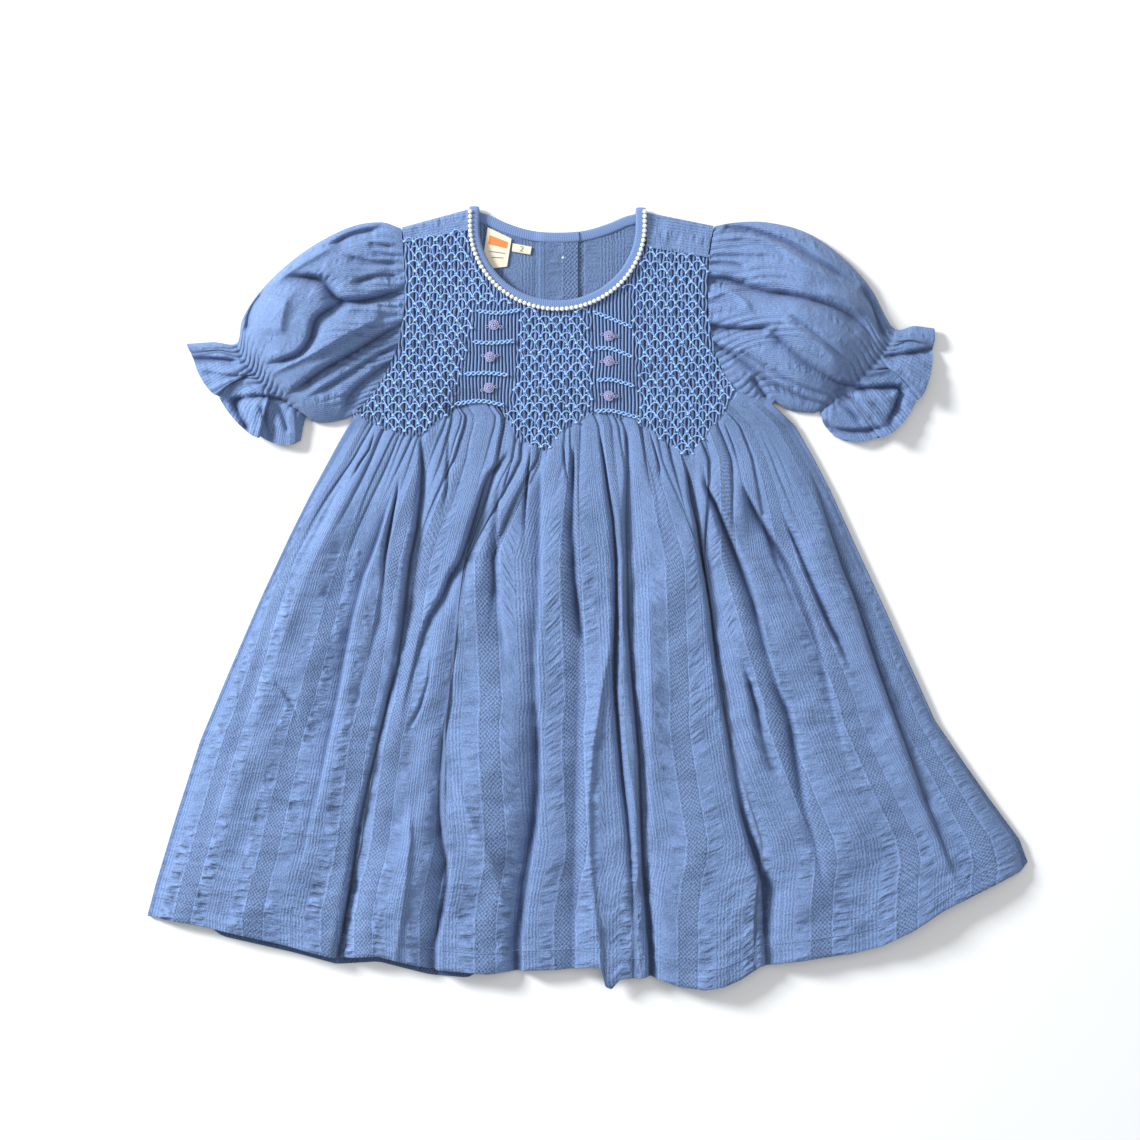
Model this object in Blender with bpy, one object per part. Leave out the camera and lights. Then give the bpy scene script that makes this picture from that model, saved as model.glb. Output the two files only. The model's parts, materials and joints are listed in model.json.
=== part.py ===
# A small child's dress with a smocked front, laid flat on its back.
# X runs across the dress, Y up to the neck, Z up from the surface it lies on.
# The origin is under the middle of the whole outline. Tables are in millimetres.

import math

import bpy
import bmesh
import numpy as np
from mathutils import Matrix, Vector

mm = 0.001

# Cloth and the levels at which the layers lie.
gap = 0.3                  # between neighbouring pieces
backCloth = 1.4            # back panels, from the surface up
placketLevel = 1.7         # underside of the lapped half at the centre back
placketCloth = 1.2
frontLevel = 3.2           # plain inner face of the smocked front
smockHollow = 5.0          # outer face in the cells of the honeycomb
smockPoint = 6.5           # outer face where the pleats are caught together
skirtCloth = 1.5
skirtCrest = 10.5          # outer face between the deep folds
skirtLowest = 3.5          # outer face at the bottom of a fold
rolledEdge = 1.9           # outer face at the side edges, which roll to the back
sleeveCloth = 1.2

# Honeycomb smocking: the columns of points lie about 3.2 apart, two to each cell.
smockRow = 4.9
smockColumns = 84
smockRows = 30
skirtTop = 85.0            # level of the lowest point of the smocking
smockFade = 2.5            # the honeycomb runs out this far either side of its lower edge

# Small gathers below the smocking, one for every four columns.
gatherHeight = 0.6
gatherLevels = (116, 108, 85, 60)  # start, full, still full, gone

# The skirt rises from the smocking to its full height between these two levels.
riseLevels = (115, 50)
rollReach = 11             # width over which a side edge rolls down
rollLevels = (104, 116)    # above these levels the armholes take over and nothing rolls

# Armhole seams, each as the four points of one cubic curve from shoulder to underarm.
armholeLeft = ((-115.6, 228.5), (-112, 190), (-108, 150), (-143.5, 114))
armholeRight = ((79, 230), (70, 190), (72, 120), (113.5, 120.5))

# Neckline: centre line of the binding.
neckFront = dict(centre=(-18.6, 230), radii=(51.7, 49.5))
neckBack = ((-70.3, 238.5), (-68.3, 236), (-62, 234), (-52, 229.4), (-40, 225.4), (-27, 223.2),
            (-10, 223.2), (2, 225), (14, 228.8), (24, 233), (31, 235), (33.1, 237.5))
neckPeaks = (239.2, 238.4)  # where the binding turns over the left and right shoulders
bindingHalfWidth = 3.2
placketEdge = -6.0         # free edge of the lapped half
placketHidden = -28.5      # edge of the half below it

# Shoulder strips, left and right end: corner at the front seam, corner at the fold.
shoulderLeft = (((-113.9, 221.3), (-115.2, 229.3)), ((-73.9, 228.8), (-73.9, 240.6)))
shoulderRight = (((36.7, 218.3), (36.7, 238.6)), ((74.7, 212.0), (78.4, 230.2)))
waist = 108.0              # seam between back bodice and back skirt
backInset = 4.8            # the front's side edges roll this far round the back

# Lower edge of the smocking: x, y.
smockEdge = ((-160, 114), (-143, 114), (-113, 98), (-101, 100), (-80, 119), (-54, 119), (-44, 97),
             (-26, 88), (-15, 103), (6, 114), (28, 111), (46, 97), (63, 85), (72, 98), (84, 112),
             (92, 129), (140, 131))

# Side edges of the front: y, x.
sideLeft = ((240, -150), (122, -150), (112, -144.5), (97, -153.5), (63, -172), (38, -184.5),
            (-2, -203), (-46, -222), (-89, -240), (-139, -256), (-179, -268), (-198, -273))
sideRight = ((240, 118.8), (124, 118.8), (119.5, 114), (106, 128.7), (88, 139), (66, 150.5), (32, 166),
             (-8, 184.5), (-36, 197), (-77, 215.5), (-104, 234), (-126, 249.5), (-151, 268),
             (-165, 273))

# Hem of the front: x, y.
hem = ((-273, -198), (-237, -204), (-184, -216), (-156, -223.5), (-130, -222), (-98, -230),
       (-62, -233), (-37, -231), (-17, -230.5), (8, -228.5), (11, -241), (15, -242.7), (20, -236.5),
       (39, -234.7), (57, -241), (73, -242.7), (84, -241), (95, -236.5), (107, -228.5),
       (163, -220.5), (181, -216), (200, -207), (219, -194.5), (246, -181), (269, -170), (273, -165))

# Deep folds of the front skirt, from left to right. Each row gives x at the seven levels,
# the depth at the top, middle and hem, and how far the left and right banks reach.
foldLevels = (85, 35, -15, -65, -115, -165, -215)
depthLevels = (100, 35, -65, -215)
folds = (
    ((-121, -133, -153, -171, -180, -190, -197), (0.8, 2.5, 3.5, 2.0), 22, 6),
    ((-115, -123, -129, -140, -150, -160, -168), (0.8, 2.0, 0.5, 0.8), 4, 4),
    ((-99.5, -107.5, -115, -120.5, -133, -143.5, -152), (1.5, 4.5, 6.5, 6.5), 15, 5),
    ((-59, -74.5, -97, -118, -131, -141.5, -150), (1.8, 5.0, 2.5, 0.0), 5, 9),
    ((-57, -72, -82, -86, -91, -89.5, -92.5), (0.0, 3.0, 5.0, 6.5), 15, 5),
    ((-54, -55, -53, -50, -54, -54, -59), (1.0, 2.0, 1.0, 4.5), 5, 12),
    ((-31, -30.5, -31, -31, -30.5, -35.5, -41), (1.5, 5.5, 6.5, 6.5), 5, 6),
    ((-6.5, -8.5, -4.5, -6, -7.5, -11.5, -16), (1.5, 4.5, 3.5, 3.0), 10, 8),
    ((10, 17, 18.5, 17, 23, 29, 32.5), (2.0, 6.5, 7.0, 5.0), 6, 6),
    ((17, 23.5, 27, 30, 33, 35, 38.5), (0.0, 5.0, 7.0, 7.0), 5, 7),
    ((60.5, 70, 76.5, 84, 92, 104.5, 109.5), (1.8, 6.0, 6.0, 6.0), 5, 11),
    ((65, 78, 90, 102.5, 125, 138, 146), (0.0, 0.0, 2.5, 0.0), 9, 5),
    ((70, 89.5, 106.5, 118, 130, 145.5, 155), (1.8, 6.0, 4.5, 1.0), 9, 6),
    ((87, 116, 145.5, 168, 187, 203, 216), (1.5, 5.5, 1.5, 0.5), 18, 5),
    ((133.5, 155.5, 170, 189.5, 209, 228, 243), (1.0, 4.0, 5.0, 2.0), 16, 15),
)
skirtRows = 13

# Sleeves, ring by ring from the armhole to the edge of the frill. Each row gives the four points
# of the ring's curve in plan and its height.
sleeveLeft = (
    ((-129, 232.5), (-129, 190), (-128, 150), (-149, 110.8), 11),
    ((-150, 228.5), (-154, 190), (-148, 150), (-156, 108.8), 17),
    ((-178, 212.5), (-180, 180), (-172, 145), (-164, 107.8), 22),
    ((-202, 191), (-200, 165), (-186, 138), (-170, 108.6), 21),
    ((-214, 173), (-208, 152), (-192, 134), (-173, 110), 16),
    ((-218, 157.5), (-212, 138), (-196, 128), (-174.5, 111.5), 10),
    ((-232, 158), (-226, 136), (-204, 116), (-176, 108), 11),
    ((-249, 157), (-240, 132), (-205, 84), (-178, 97), 9.5),
)
sleeveRight = (
    ((92, 232.3), (84, 190), (88, 140), (119, 119.2), 11),
    ((112, 232.3), (112, 190), (108, 150), (125, 115.8), 17),
    ((136, 226), (140, 185), (128, 150), (131, 114.8), 22),
    ((158, 211), (160, 175), (146, 145), (137, 114.2), 21),
    ((176, 191.5), (174, 164), (158, 138), (141, 114), 16),
    ((190, 167), (184, 144), (164, 132), (144.5, 114.8), 10),
    ((203, 168), (200, 142), (172, 116), (147, 107), 11),
    ((215.5, 166.5), (217, 130), (190, 85), (154, 99), 9.5),
)
elasticRing = 6            # the ring that the elastic draws in, counting the armhole as 0
ringSteps = 2              # rings built for each row of a sleeve table
sleevePoints = 24          # points across the upper side of a ring
frillWaves = 7
frillHeight = 1.6          # how far a wave of the frill rises and falls
sleeveEdge = 2.9           # outer height of a sleeve along its folded edges
sleeveTurn = 1.8           # width of cloth at a folded edge

# Creases on the sleeves: the points they run through, their depth and half width.
sleeveCreasesLeft = (
    (((-118, 190), (-132, 185), (-147, 183), (-157, 185)), 5.5, 6),
    (((-157, 185), (-166, 196), (-188, 197)), 6.0, 8),
    (((-157, 182), (-169, 171), (-171, 158), (-179, 148), (-196, 143)), 6.0, 6),
    (((-118, 167), (-131, 160), (-147, 150), (-163, 140), (-184, 126)), 6.0, 6),
    (((-133, 226), (-150, 224)), 3.5, 5),
    (((-144, 131), (-145, 115)), 5.0, 5),
    (((-205, 196), (-210, 174), (-211, 160)), 3.5, 4),
)
sleeveCreasesRight = (
    (((84, 226), (101, 227), (132, 218), (163, 199), (175, 190), (188, 170)), 5.0, 6),
    (((79, 213), (95, 210), (126, 210), (138, 203), (157, 193), (172, 178)), 4.0, 5),
    (((78, 197), (95, 194), (113, 189), (132, 186), (157, 178), (174, 160)), 6.0, 6),
    (((78, 168), (95, 167), (113, 163), (135, 146), (151, 134), (160, 131)), 6.0, 7),
    (((92, 150), (101, 145), (113, 136), (132, 126), (144, 121)), 6.0, 6),
)

# Cloth labels inside the back of the neck: corners.
labelCorners = ((-62, 229.4), (-47.2, 222.3), (-50, 205), (-66, 203))
tabCorners = ((-46.4, 219.4), (-34.6, 217.2), (-35.6, 212.4), (-47, 214.4))
labelCloth = 1.0

# Buttons under the lapped edge.
buttonX = -15.2
buttonY = (208, 163, 118)
buttonRadius = 5.0
buttonThickness = 1.2


def clearScene():
    for item in list(bpy.data.objects):
        bpy.data.objects.remove(item, do_unlink=True)


def newCollection(name):
    group = bpy.data.collections.new(name)
    bpy.context.scene.collection.children.link(group)
    return group


def newMaterial(name, colour, roughness, metallic=0.0):
    material = bpy.data.materials.new(name)
    material.use_nodes = True
    shader = material.node_tree.nodes["Principled BSDF"]
    shader.inputs["Base Color"].default_value = (*colour, 1.0)
    shader.inputs["Roughness"].default_value = roughness
    shader.inputs["Metallic"].default_value = metallic
    return material


def newObject(name, mesh, group, material=None):
    item = bpy.data.objects.new(name, mesh)
    group.objects.link(item)
    if material:
        mesh.materials.append(material)
    return item


def hideCutter(item):
    item.hide_render = True
    item.display_type = "WIRE"


# A flat outline in millimetres, cut from cloth between two levels.
def plate(name, outline, low, high, group, material=None):
    curve = bpy.data.curves.new(name, "CURVE")
    curve.dimensions = "2D"
    curve.fill_mode = "BOTH"
    curve.extrude = (high - low) / 2 * mm
    spline = curve.splines.new("POLY")
    spline.points.add(len(outline) - 1)
    for point, (x, y) in zip(spline.points, outline):
        point.co = (x * mm, y * mm, 0, 1)
    spline.use_cyclic_u = True
    drawn = bpy.data.objects.new(name + "_outline", curve)
    group.objects.link(drawn)
    drawn.location.z = (low + high) / 2 * mm
    bpy.context.view_layer.update()
    graph = bpy.context.evaluated_depsgraph_get()
    mesh = bpy.data.meshes.new_from_object(drawn.evaluated_get(graph))
    mesh.transform(drawn.matrix_world)
    bpy.data.objects.remove(drawn, do_unlink=True)
    bm = bmesh.new()
    bm.from_mesh(mesh)
    bmesh.ops.remove_doubles(bm, verts=bm.verts, dist=1e-6)
    bmesh.ops.recalc_face_normals(bm, faces=bm.faces)
    bm.to_mesh(mesh)
    bm.free()
    mesh.materials.clear()
    return newObject(name, mesh, group, material)


# A solid between rings of equal length, closed at both ends.
def loft(name, rings, group, material=None):
    bm = bmesh.new()
    made = [[bm.verts.new(Vector(p) * mm) for p in ring] for ring in rings]
    count = len(made[0])
    for one, two in zip(made, made[1:]):
        for i in range(count):
            j = (i + 1) % count
            bm.faces.new((one[i], one[j], two[j], two[i]))
    bm.faces.new(made[0])
    bm.faces.new(made[-1])
    bmesh.ops.recalc_face_normals(bm, faces=bm.faces)
    mesh = bpy.data.meshes.new(name)
    bm.to_mesh(mesh)
    bm.free()
    return newObject(name, mesh, group, material)


def combine(item, other, operation):
    modifier = item.modifiers.new(operation.title(), "BOOLEAN")
    modifier.operation = operation
    modifier.solver = "EXACT"
    modifier.object = other
    hideCutter(other)


def table(rows, at, column=0, value=1):
    rows = sorted(rows, key=lambda row: row[column])
    return np.interp(at, [row[column] for row in rows], [row[value] for row in rows])


def smooth(low, high, value):
    t = min(max((value - low) / (high - low), 0.0), 1.0)
    return t * t * (3 - 2 * t)


def cubic(points, t):
    a, b, c, d = (np.array(p[:2], float) for p in points)
    s = 1 - t
    return a * s**3 + 3 * b * s * s * t + 3 * c * s * t * t + d * t**3


# A cubic curve moved sideways by a distance, to its left as seen from start to end.
def cubicBeside(points, t, distance):
    step = 0.004  # share of the curve over which its direction is taken
    ahead = cubic(points, min(t + step, 1)) - cubic(points, max(t - step, 0))
    ahead /= np.hypot(*ahead)
    return cubic(points, t) + distance * np.array((-ahead[1], ahead[0]))


# The armhole seam between two levels, as a list of points.
def armhole(points, top, bottom, count=28):
    line = [cubic(points, i / count) for i in range(count + 1)]
    return [tuple(p) for p in line if bottom <= p[1] <= top]


# Centre line of the binding on the front, from the left shoulder to the right one.
def neckFrontLine(count, beside):
    cx, cy = neckFront["centre"]
    rx, ry = neckFront["radii"]
    line = []
    for i in range(count + 1):
        a = math.pi * (1 + i / count)
        line.append((cx + (rx + beside) * math.cos(a), cy + (ry + beside) * math.sin(a)))
    return line


# Side steps of an open line in plan, to its right as seen from start to end.
def besideLine(line, distance):
    points = [Vector(p) for p in line]
    moved = []
    for i, p in enumerate(points):
        ahead = points[min(i + 1, len(points) - 1)] - points[max(i - 1, 0)]
        ahead.normalize()
        moved.append((p.x + distance * ahead.y, p.y - distance * ahead.x))
    return moved


# A smooth line through hand-set points, with several steps between each pair.
def throughPoints(points, steps):
    p = [Vector(q) for q in points]
    p = [2 * p[0] - p[1]] + p + [2 * p[-1] - p[-2]]
    line = []
    for i in range(1, len(p) - 2):
        for k in range(steps):
            t = k / steps
            a, b, c, d = p[i - 1:i + 3]
            line.append(0.5 * (2 * b + (c - a) * t + (2 * a - 5 * b + 4 * c - d) * t * t
                               + (3 * b - a - 3 * c + d) * t**3))
    line.append(p[-2])
    return line


# How far a point is from a line of points, and how far along the line it lies, 0 to 1.
def nearLine(line, x, y):
    best, place, length = 1e9, 0.0, 0.0
    for (ax, ay), (bx, by) in zip(line, line[1:]):
        dx, dy = bx - ax, by - ay
        run = math.hypot(dx, dy)
        t = min(max(((x - ax) * dx + (y - ay) * dy) / run**2, 0), 1)
        away = math.hypot(x - ax - t * dx, y - ay - t * dy)
        if away < best:
            best, place = away, length + t * run
        length += run
    return best, place / length


# Where a column of the front runs: across is 0 at the left edge and 1 at the right edge.
def columnX(across, y):
    left, right = table(sideLeft, y), table(sideRight, y)
    if y >= skirtTop:
        return left + across * (right - left)
    topLeft, topRight = table(sideLeft, skirtTop), table(sideRight, skirtTop)
    knots = [0.0]
    places = [left]
    for xs, depth, leftBank, rightBank in folds:
        knots.append((xs[0] - topLeft) / (topRight - topLeft))
        places.append(np.interp(-y, [-level for level in foldLevels], xs))
    return float(np.interp(across, knots + [1.0], places + [right]))


# Outer face of the gathered skirt.
def skirtOuter(x, y):
    depth = 0.0
    for xs, depths, leftBank, rightBank in folds:
        offset = x - np.interp(-y, [-level for level in foldLevels], xs)
        bank = leftBank if offset < 0 else rightBank
        deep = np.interp(-y, [-level for level in depthLevels], depths)
        depth = max(depth, deep * math.exp(-(abs(offset) / bank)**1.4))
    crest = smockPoint + (skirtCrest - smockPoint) * smooth(*riseLevels, y)
    inside = min(x - table(sideLeft, y), table(sideRight, y) - x)
    roll = 1 - math.exp(-max(inside, 0) / rollReach)
    roll += (1 - roll) * smooth(*rollLevels, y)
    outer = max(crest - depth, skirtLowest)
    return rolledEdge + (outer - rolledEdge) * roll


# Small gathers just below the smocking, by column and level.
def gathers(k, y):
    start, full, still, gone = gatherLevels
    if k in (0, smockColumns):
        return 0.0
    return gatherHeight * math.cos(math.pi * k / 2) * smooth(start, full, y) * smooth(gone, still, y)


# One panel from shoulder to hem: honeycomb smocking above, gathers and folds below.
def makeFront(group, cutters, material):
    columns = range(smockColumns + 1)
    levels = [skirtTop + smockRow * (smockRows - j) for j in range(smockRows + 1)]
    outer, inner = [], []
    for j, y in enumerate(levels):
        rowOut, rowIn = [], []
        for k in columns:
            x = columnX(k / smockColumns, y)
            caught = smooth(-smockFade, smockFade, y - table(smockEdge, x))
            relief = smockPoint if (j + k) % 2 == 0 else smockHollow
            loose = skirtOuter(x, y) + gathers(k, y)
            z = loose + caught * (relief - loose)
            rowOut.append((x, y, z))
            plain = loose - skirtCloth
            rowIn.append((x, y, plain + caught * (frontLevel - plain)))
        outer.append(rowOut)
        inner.append(rowIn)
    for i in range(1, skirtRows + 1):
        down = (i / skirtRows)**1.1
        rowOut, rowIn = [], []
        for k in columns:
            across = k / smockColumns
            bottom = foldLevels[-1]
            for _ in range(5):
                bottom = table(hem, columnX(across, bottom))
            y = skirtTop + down * (bottom - skirtTop)
            x = columnX(across, y)
            z = skirtOuter(x, y) + gathers(k, y)
            rowOut.append((x, y, z))
            rowIn.append((x, y, z - skirtCloth))
        outer.append(rowOut)
        inner.append(rowIn)
    bm = bmesh.new()
    top = [[bm.verts.new(Vector(p) * mm) for p in row] for row in outer]
    under = [[bm.verts.new(Vector(p) * mm) for p in row] for row in inner]
    last, side = len(top) - 1, smockColumns
    for j in range(last):
        for k in range(side):
            # The crease of each face joins the two raised points, so the ridges form the honeycomb.
            corners = [top[j][k], top[j + 1][k], top[j + 1][k + 1], top[j][k + 1]]
            if (j + k) % 2:
                corners = corners[1:] + corners[:1]
            bm.faces.new(corners[:3])
            bm.faces.new((corners[0], corners[2], corners[3]))
            bm.faces.new((under[j][k], under[j][k + 1], under[j + 1][k + 1], under[j + 1][k]))
    for j in range(last):
        bm.faces.new((top[j][0], under[j][0], under[j + 1][0], top[j + 1][0]))
        bm.faces.new((top[j][side], top[j + 1][side], under[j + 1][side], under[j][side]))
    for k in range(side):
        bm.faces.new((top[0][k], top[0][k + 1], under[0][k + 1], under[0][k]))
        bm.faces.new((top[last][k], under[last][k], under[last][k + 1], top[last][k + 1]))
    bmesh.ops.recalc_face_normals(bm, faces=bm.faces)
    mesh = bpy.data.meshes.new("front")
    bm.to_mesh(mesh)
    bm.free()
    front = newObject("front", mesh, group, material)
    combine(front, frontPattern(cutters), "INTERSECT")


# Outline that the front is cut to above the underarms: armholes, shoulder seams and neck.
def frontPattern(cutters):
    wide, deep, notch = 320, 300, 1.6  # clear of the dress; step at each underarm
    leftOuter, leftInner = (end[0][1] - gap for end in shoulderLeft)
    rightInner, rightOuter = (end[0][1] - gap for end in shoulderRight)
    left = armhole(armholeLeft, leftOuter, 0)
    right = armhole(armholeRight, rightOuter, 0)
    neck = neckFrontLine(72, bindingHalfWidth + gap + 0.2)
    neck = [p for p in neck if p[1] < (leftInner if p[0] < 0 else rightInner)]
    lowLeft, lowRight = left[-1][1] - notch, right[-1][1] - notch
    outline = [(-wide, -deep), (wide, -deep), (wide, lowRight), (right[-1][0], lowRight)]
    outline += right[::-1] + [(right[0][0], rightOuter), (neck[-1][0], rightInner)]
    outline += neck[::-1] + [(neck[0][0], leftInner), (left[0][0], leftOuter)]
    outline += left + [(left[-1][0], lowLeft), (-wide, lowLeft)]
    return plate("front_pattern", outline, -5, 20, cutters)


# A shoulder strip folded over from the back: a bent wall between two ends.
def shoulderStrip(name, ends, group):
    outerRadius = (frontLevel + backCloth + 0.6) / 2
    innerRadius = outerRadius - backCloth
    steps = 8
    rings = []
    for (seamX, seam), (foldX, fold) in ends:
        middle = fold - outerRadius
        flat = seam - 8
        ring = [(flat, 0)]
        for i in range(steps + 1):
            a = -math.pi / 2 + math.pi * i / steps
            ring.append((middle + outerRadius * math.cos(a), outerRadius * (1 + math.sin(a))))
        ring.append((seam, 2 * outerRadius))
        ring.append((seam, 2 * outerRadius - backCloth))
        for i in range(steps + 1):
            a = math.pi / 2 - math.pi * i / steps
            ring.append((middle + innerRadius * math.cos(a),
                         outerRadius + innerRadius * math.sin(a)))
        ring.append((flat, backCloth))
        slant = (foldX - seamX) / (fold - seam)
        rings.append([(seamX + slant * (y - seam), y, z) for y, z in ring])
    return loft(name, rings, group)


# One half of the back bodice: a flat panel, with its shoulder folded over to the front.
def makeBackHalf(name, outline, profile, shoulder, group, cutters, material):
    panel = plate(name, outline, -1, 8, group, material)
    ends = [[(x, y, z) for x, z in profile] for y in (60, 250)]
    combine(panel, loft(name + "_section", ends, cutters), "INTERSECT")
    combine(panel, shoulderStrip(name + "_shoulder", shoulder, cutters), "UNION")
    return panel


def neckEdgeBack():
    line = [(p.x, p.y) for p in throughPoints(neckBack, 3)]
    return besideLine(line, bindingHalfWidth + gap)


def makeBackBodice(group, cutters, material):
    neck = neckEdgeBack()[::-1]
    low, lap, lift = waist + gap, placketHidden - gap, 3.0  # lift: run of the step at the lap
    (outerSeam, outerFold), (innerSeam, innerFold) = shoulderLeft
    edge = armhole(armholeLeft, outerSeam[1] - 2, waist + 9)
    outline = [(outerFold[0], outerFold[1] - 4), *edge,
               (table(sideLeft, waist) + backInset, low), (placketEdge, low)]
    outline += [p for p in neck if p[0] < placketEdge and p[1] < innerFold[1] - 5]
    outline += [(innerFold[0], innerFold[1] - 4)]
    profile = [(-160, 0), (lap - lift, 0), (lap, placketLevel), (0, placketLevel),
               (0, placketLevel + placketCloth), (lap - 0.6, placketLevel + placketCloth),
               (lap - lift - 0.6, backCloth), (-160, backCloth)]
    makeBackHalf("back_bodice_left", outline, profile, shoulderLeft, group, cutters, material)

    (innerSeam, innerFold), (outerSeam, outerFold) = shoulderRight
    edge = armhole(armholeRight, outerSeam[1] - 2, waist + 9)
    outline = [(placketHidden, low), (table(sideRight, waist) - backInset, low)]
    outline += edge[::-1] + [(outerFold[0] - 0.6, outerFold[1] - 4)]
    outline += [(innerFold[0], innerFold[1] - 4)]
    outline += [p for p in neck if p[0] > placketHidden and p[1] < innerFold[1] - 5]
    profile = [(-60, 0), (160, 0), (160, backCloth), (-60, backCloth)]
    right = makeBackHalf("back_bodice_right", outline, profile, shoulderRight, group, cutters,
                         material)
    for i, y in enumerate(buttonY):
        hole = roundPiece("button_hole_%d" % (i + 1), buttonRadius + gap, 4, 0, y, cutters)
        combine(right, hole, "DIFFERENCE")


def roundPiece(name, radius, height, middle, y, group, material=None):
    bm = bmesh.new()
    bmesh.ops.create_cone(bm, cap_ends=True, segments=20, radius1=radius * mm,
                          radius2=radius * mm, depth=height * mm,
                          matrix=Matrix.Translation((buttonX * mm, y * mm, middle * mm)))
    mesh = bpy.data.meshes.new(name)
    bm.to_mesh(mesh)
    bm.free()
    return newObject(name, mesh, group, material)


def makeButtons(group, material):
    for i, y in enumerate(buttonY):
        roundPiece("button_%d" % (i + 1), buttonRadius, buttonThickness, buttonThickness / 2, y,
                   group, material)


# The back skirt lies flat. At the left its hem shows just below the front's.
def makeBackSkirt(group, material):
    levels = [y for y, x in sideLeft if -190 < y < waist]
    outline = [(table(sideLeft, y) + backInset, y) for y in [waist] + sorted(levels, reverse=True)]
    outline.append((hem[0][0] + backInset, hem[0][1] + 3))
    for x, y in hem[1:-1]:
        peeping = smooth(-245, -225, x) * (1 - smooth(-76, -60, x))
        if not 5 < x < 40:
            outline.append((x, y + 4 - 9 * peeping))
    outline.append((hem[-1][0] - backInset, hem[-1][1] + 2))
    levels = [y for y, x in sideRight if -160 < y < waist]
    outline += [(table(sideRight, y) - backInset, y) for y in sorted(levels) + [waist]]
    plate("back_skirt", outline, 0, backCloth, group, material)


# A puffed sleeve with its drawn-in cuff and frill: an open tube lying on its lower side.
def makeSleeve(name, curve, rows, creases, group, material):
    side = -1 if curve is armholeLeft else 1
    keys = [(*curve, smockPoint)] + list(rows)
    places = [i / ringSteps for i in range((len(keys) - 1) * ringSteps + 1)]
    rings = [sleeveRing(keys, place, creases, side) for place in places]
    makeTube(name, rings, group, material)


def sleeveHeight(keys, place, t, x, y, creases):
    height = np.interp(place, range(len(keys)), [row[4] for row in keys])
    bulge = 0.35 + 0.25 * smooth(0, 1.5, place)  # a lower power gives a squarer section
    z = sleeveEdge + (height - sleeveEdge) * max(math.sin(math.pi * t), 0.0)**bulge
    frill = smooth(elasticRing, elasticRing + 1, place)
    z += frill * frillHeight * math.sin(2 * math.pi * frillWaves * t) * math.sin(math.pi * t)
    for line, depth, width in creases:
        away, along = nearLine(line, x, y)
        fade = min(1, 4 * along + 0.4, 4 * (1 - along) + 0.2)
        z -= depth * fade * math.exp(-(away / width)**2)
    return max(z, sleeveEdge)


# One ring: outer upper side, outer lower side, then back along the inner faces.
def sleeveRing(keys, place, creases, side):
    low = min(int(place), len(keys) - 2)
    share = place - low
    points = [tuple((1 - share) * np.array(a) + share * np.array(b))
              for a, b in zip(keys[low][:4], keys[low + 1][:4])]
    outset = side * gap * (1 - smooth(0, 1, place))
    count = sleevePoints
    wall = sleeveCloth
    span = np.hypot(*(cubic(points, 0) - cubic(points, 1)))
    trim = sleeveTurn / span
    outerUp, innerUp = [], []
    for i in range(count + 1):
        t = i / count
        x, y = cubicBeside(points, t, outset)
        outerUp.append((x, y, sleeveHeight(keys, place, t, x, y, creases)))
        inner = trim + (1 - 2 * trim) * t
        x, y = cubicBeside(points, inner, outset)
        innerUp.append((x, y, sleeveHeight(keys, place, inner, x, y, creases) - wall))
    outerDown = [(x, y, 0.0) for x, y, z in outerUp[::-1]]
    innerDown = [(x, y, wall) for x, y, z in innerUp[::-1]]
    return outerUp + outerDown, innerUp + innerDown


# Outer and inner faces of an open tube, joined at its two ends.
def makeTube(name, rings, group, material):
    bm = bmesh.new()
    outer = [[bm.verts.new(Vector(p) * mm) for p in ring[0]] for ring in rings]
    inner = [[bm.verts.new(Vector(p) * mm) for p in ring[1]] for ring in rings]
    count = len(outer[0])
    for i in range(count):
        j = (i + 1) % count
        for one, two in zip(outer, outer[1:]):
            bm.faces.new((one[i], one[j], two[j], two[i]))
        for one, two in zip(inner, inner[1:]):
            bm.faces.new((one[j], one[i], two[i], two[j]))
        for end in (0, -1):
            bm.faces.new((outer[end][i], outer[end][j], inner[end][j], inner[end][i]))
    bmesh.ops.recalc_face_normals(bm, faces=bm.faces)
    mesh = bpy.data.meshes.new(name)
    bm.to_mesh(mesh)
    bm.free()
    return newObject(name, mesh, group, material)


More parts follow.
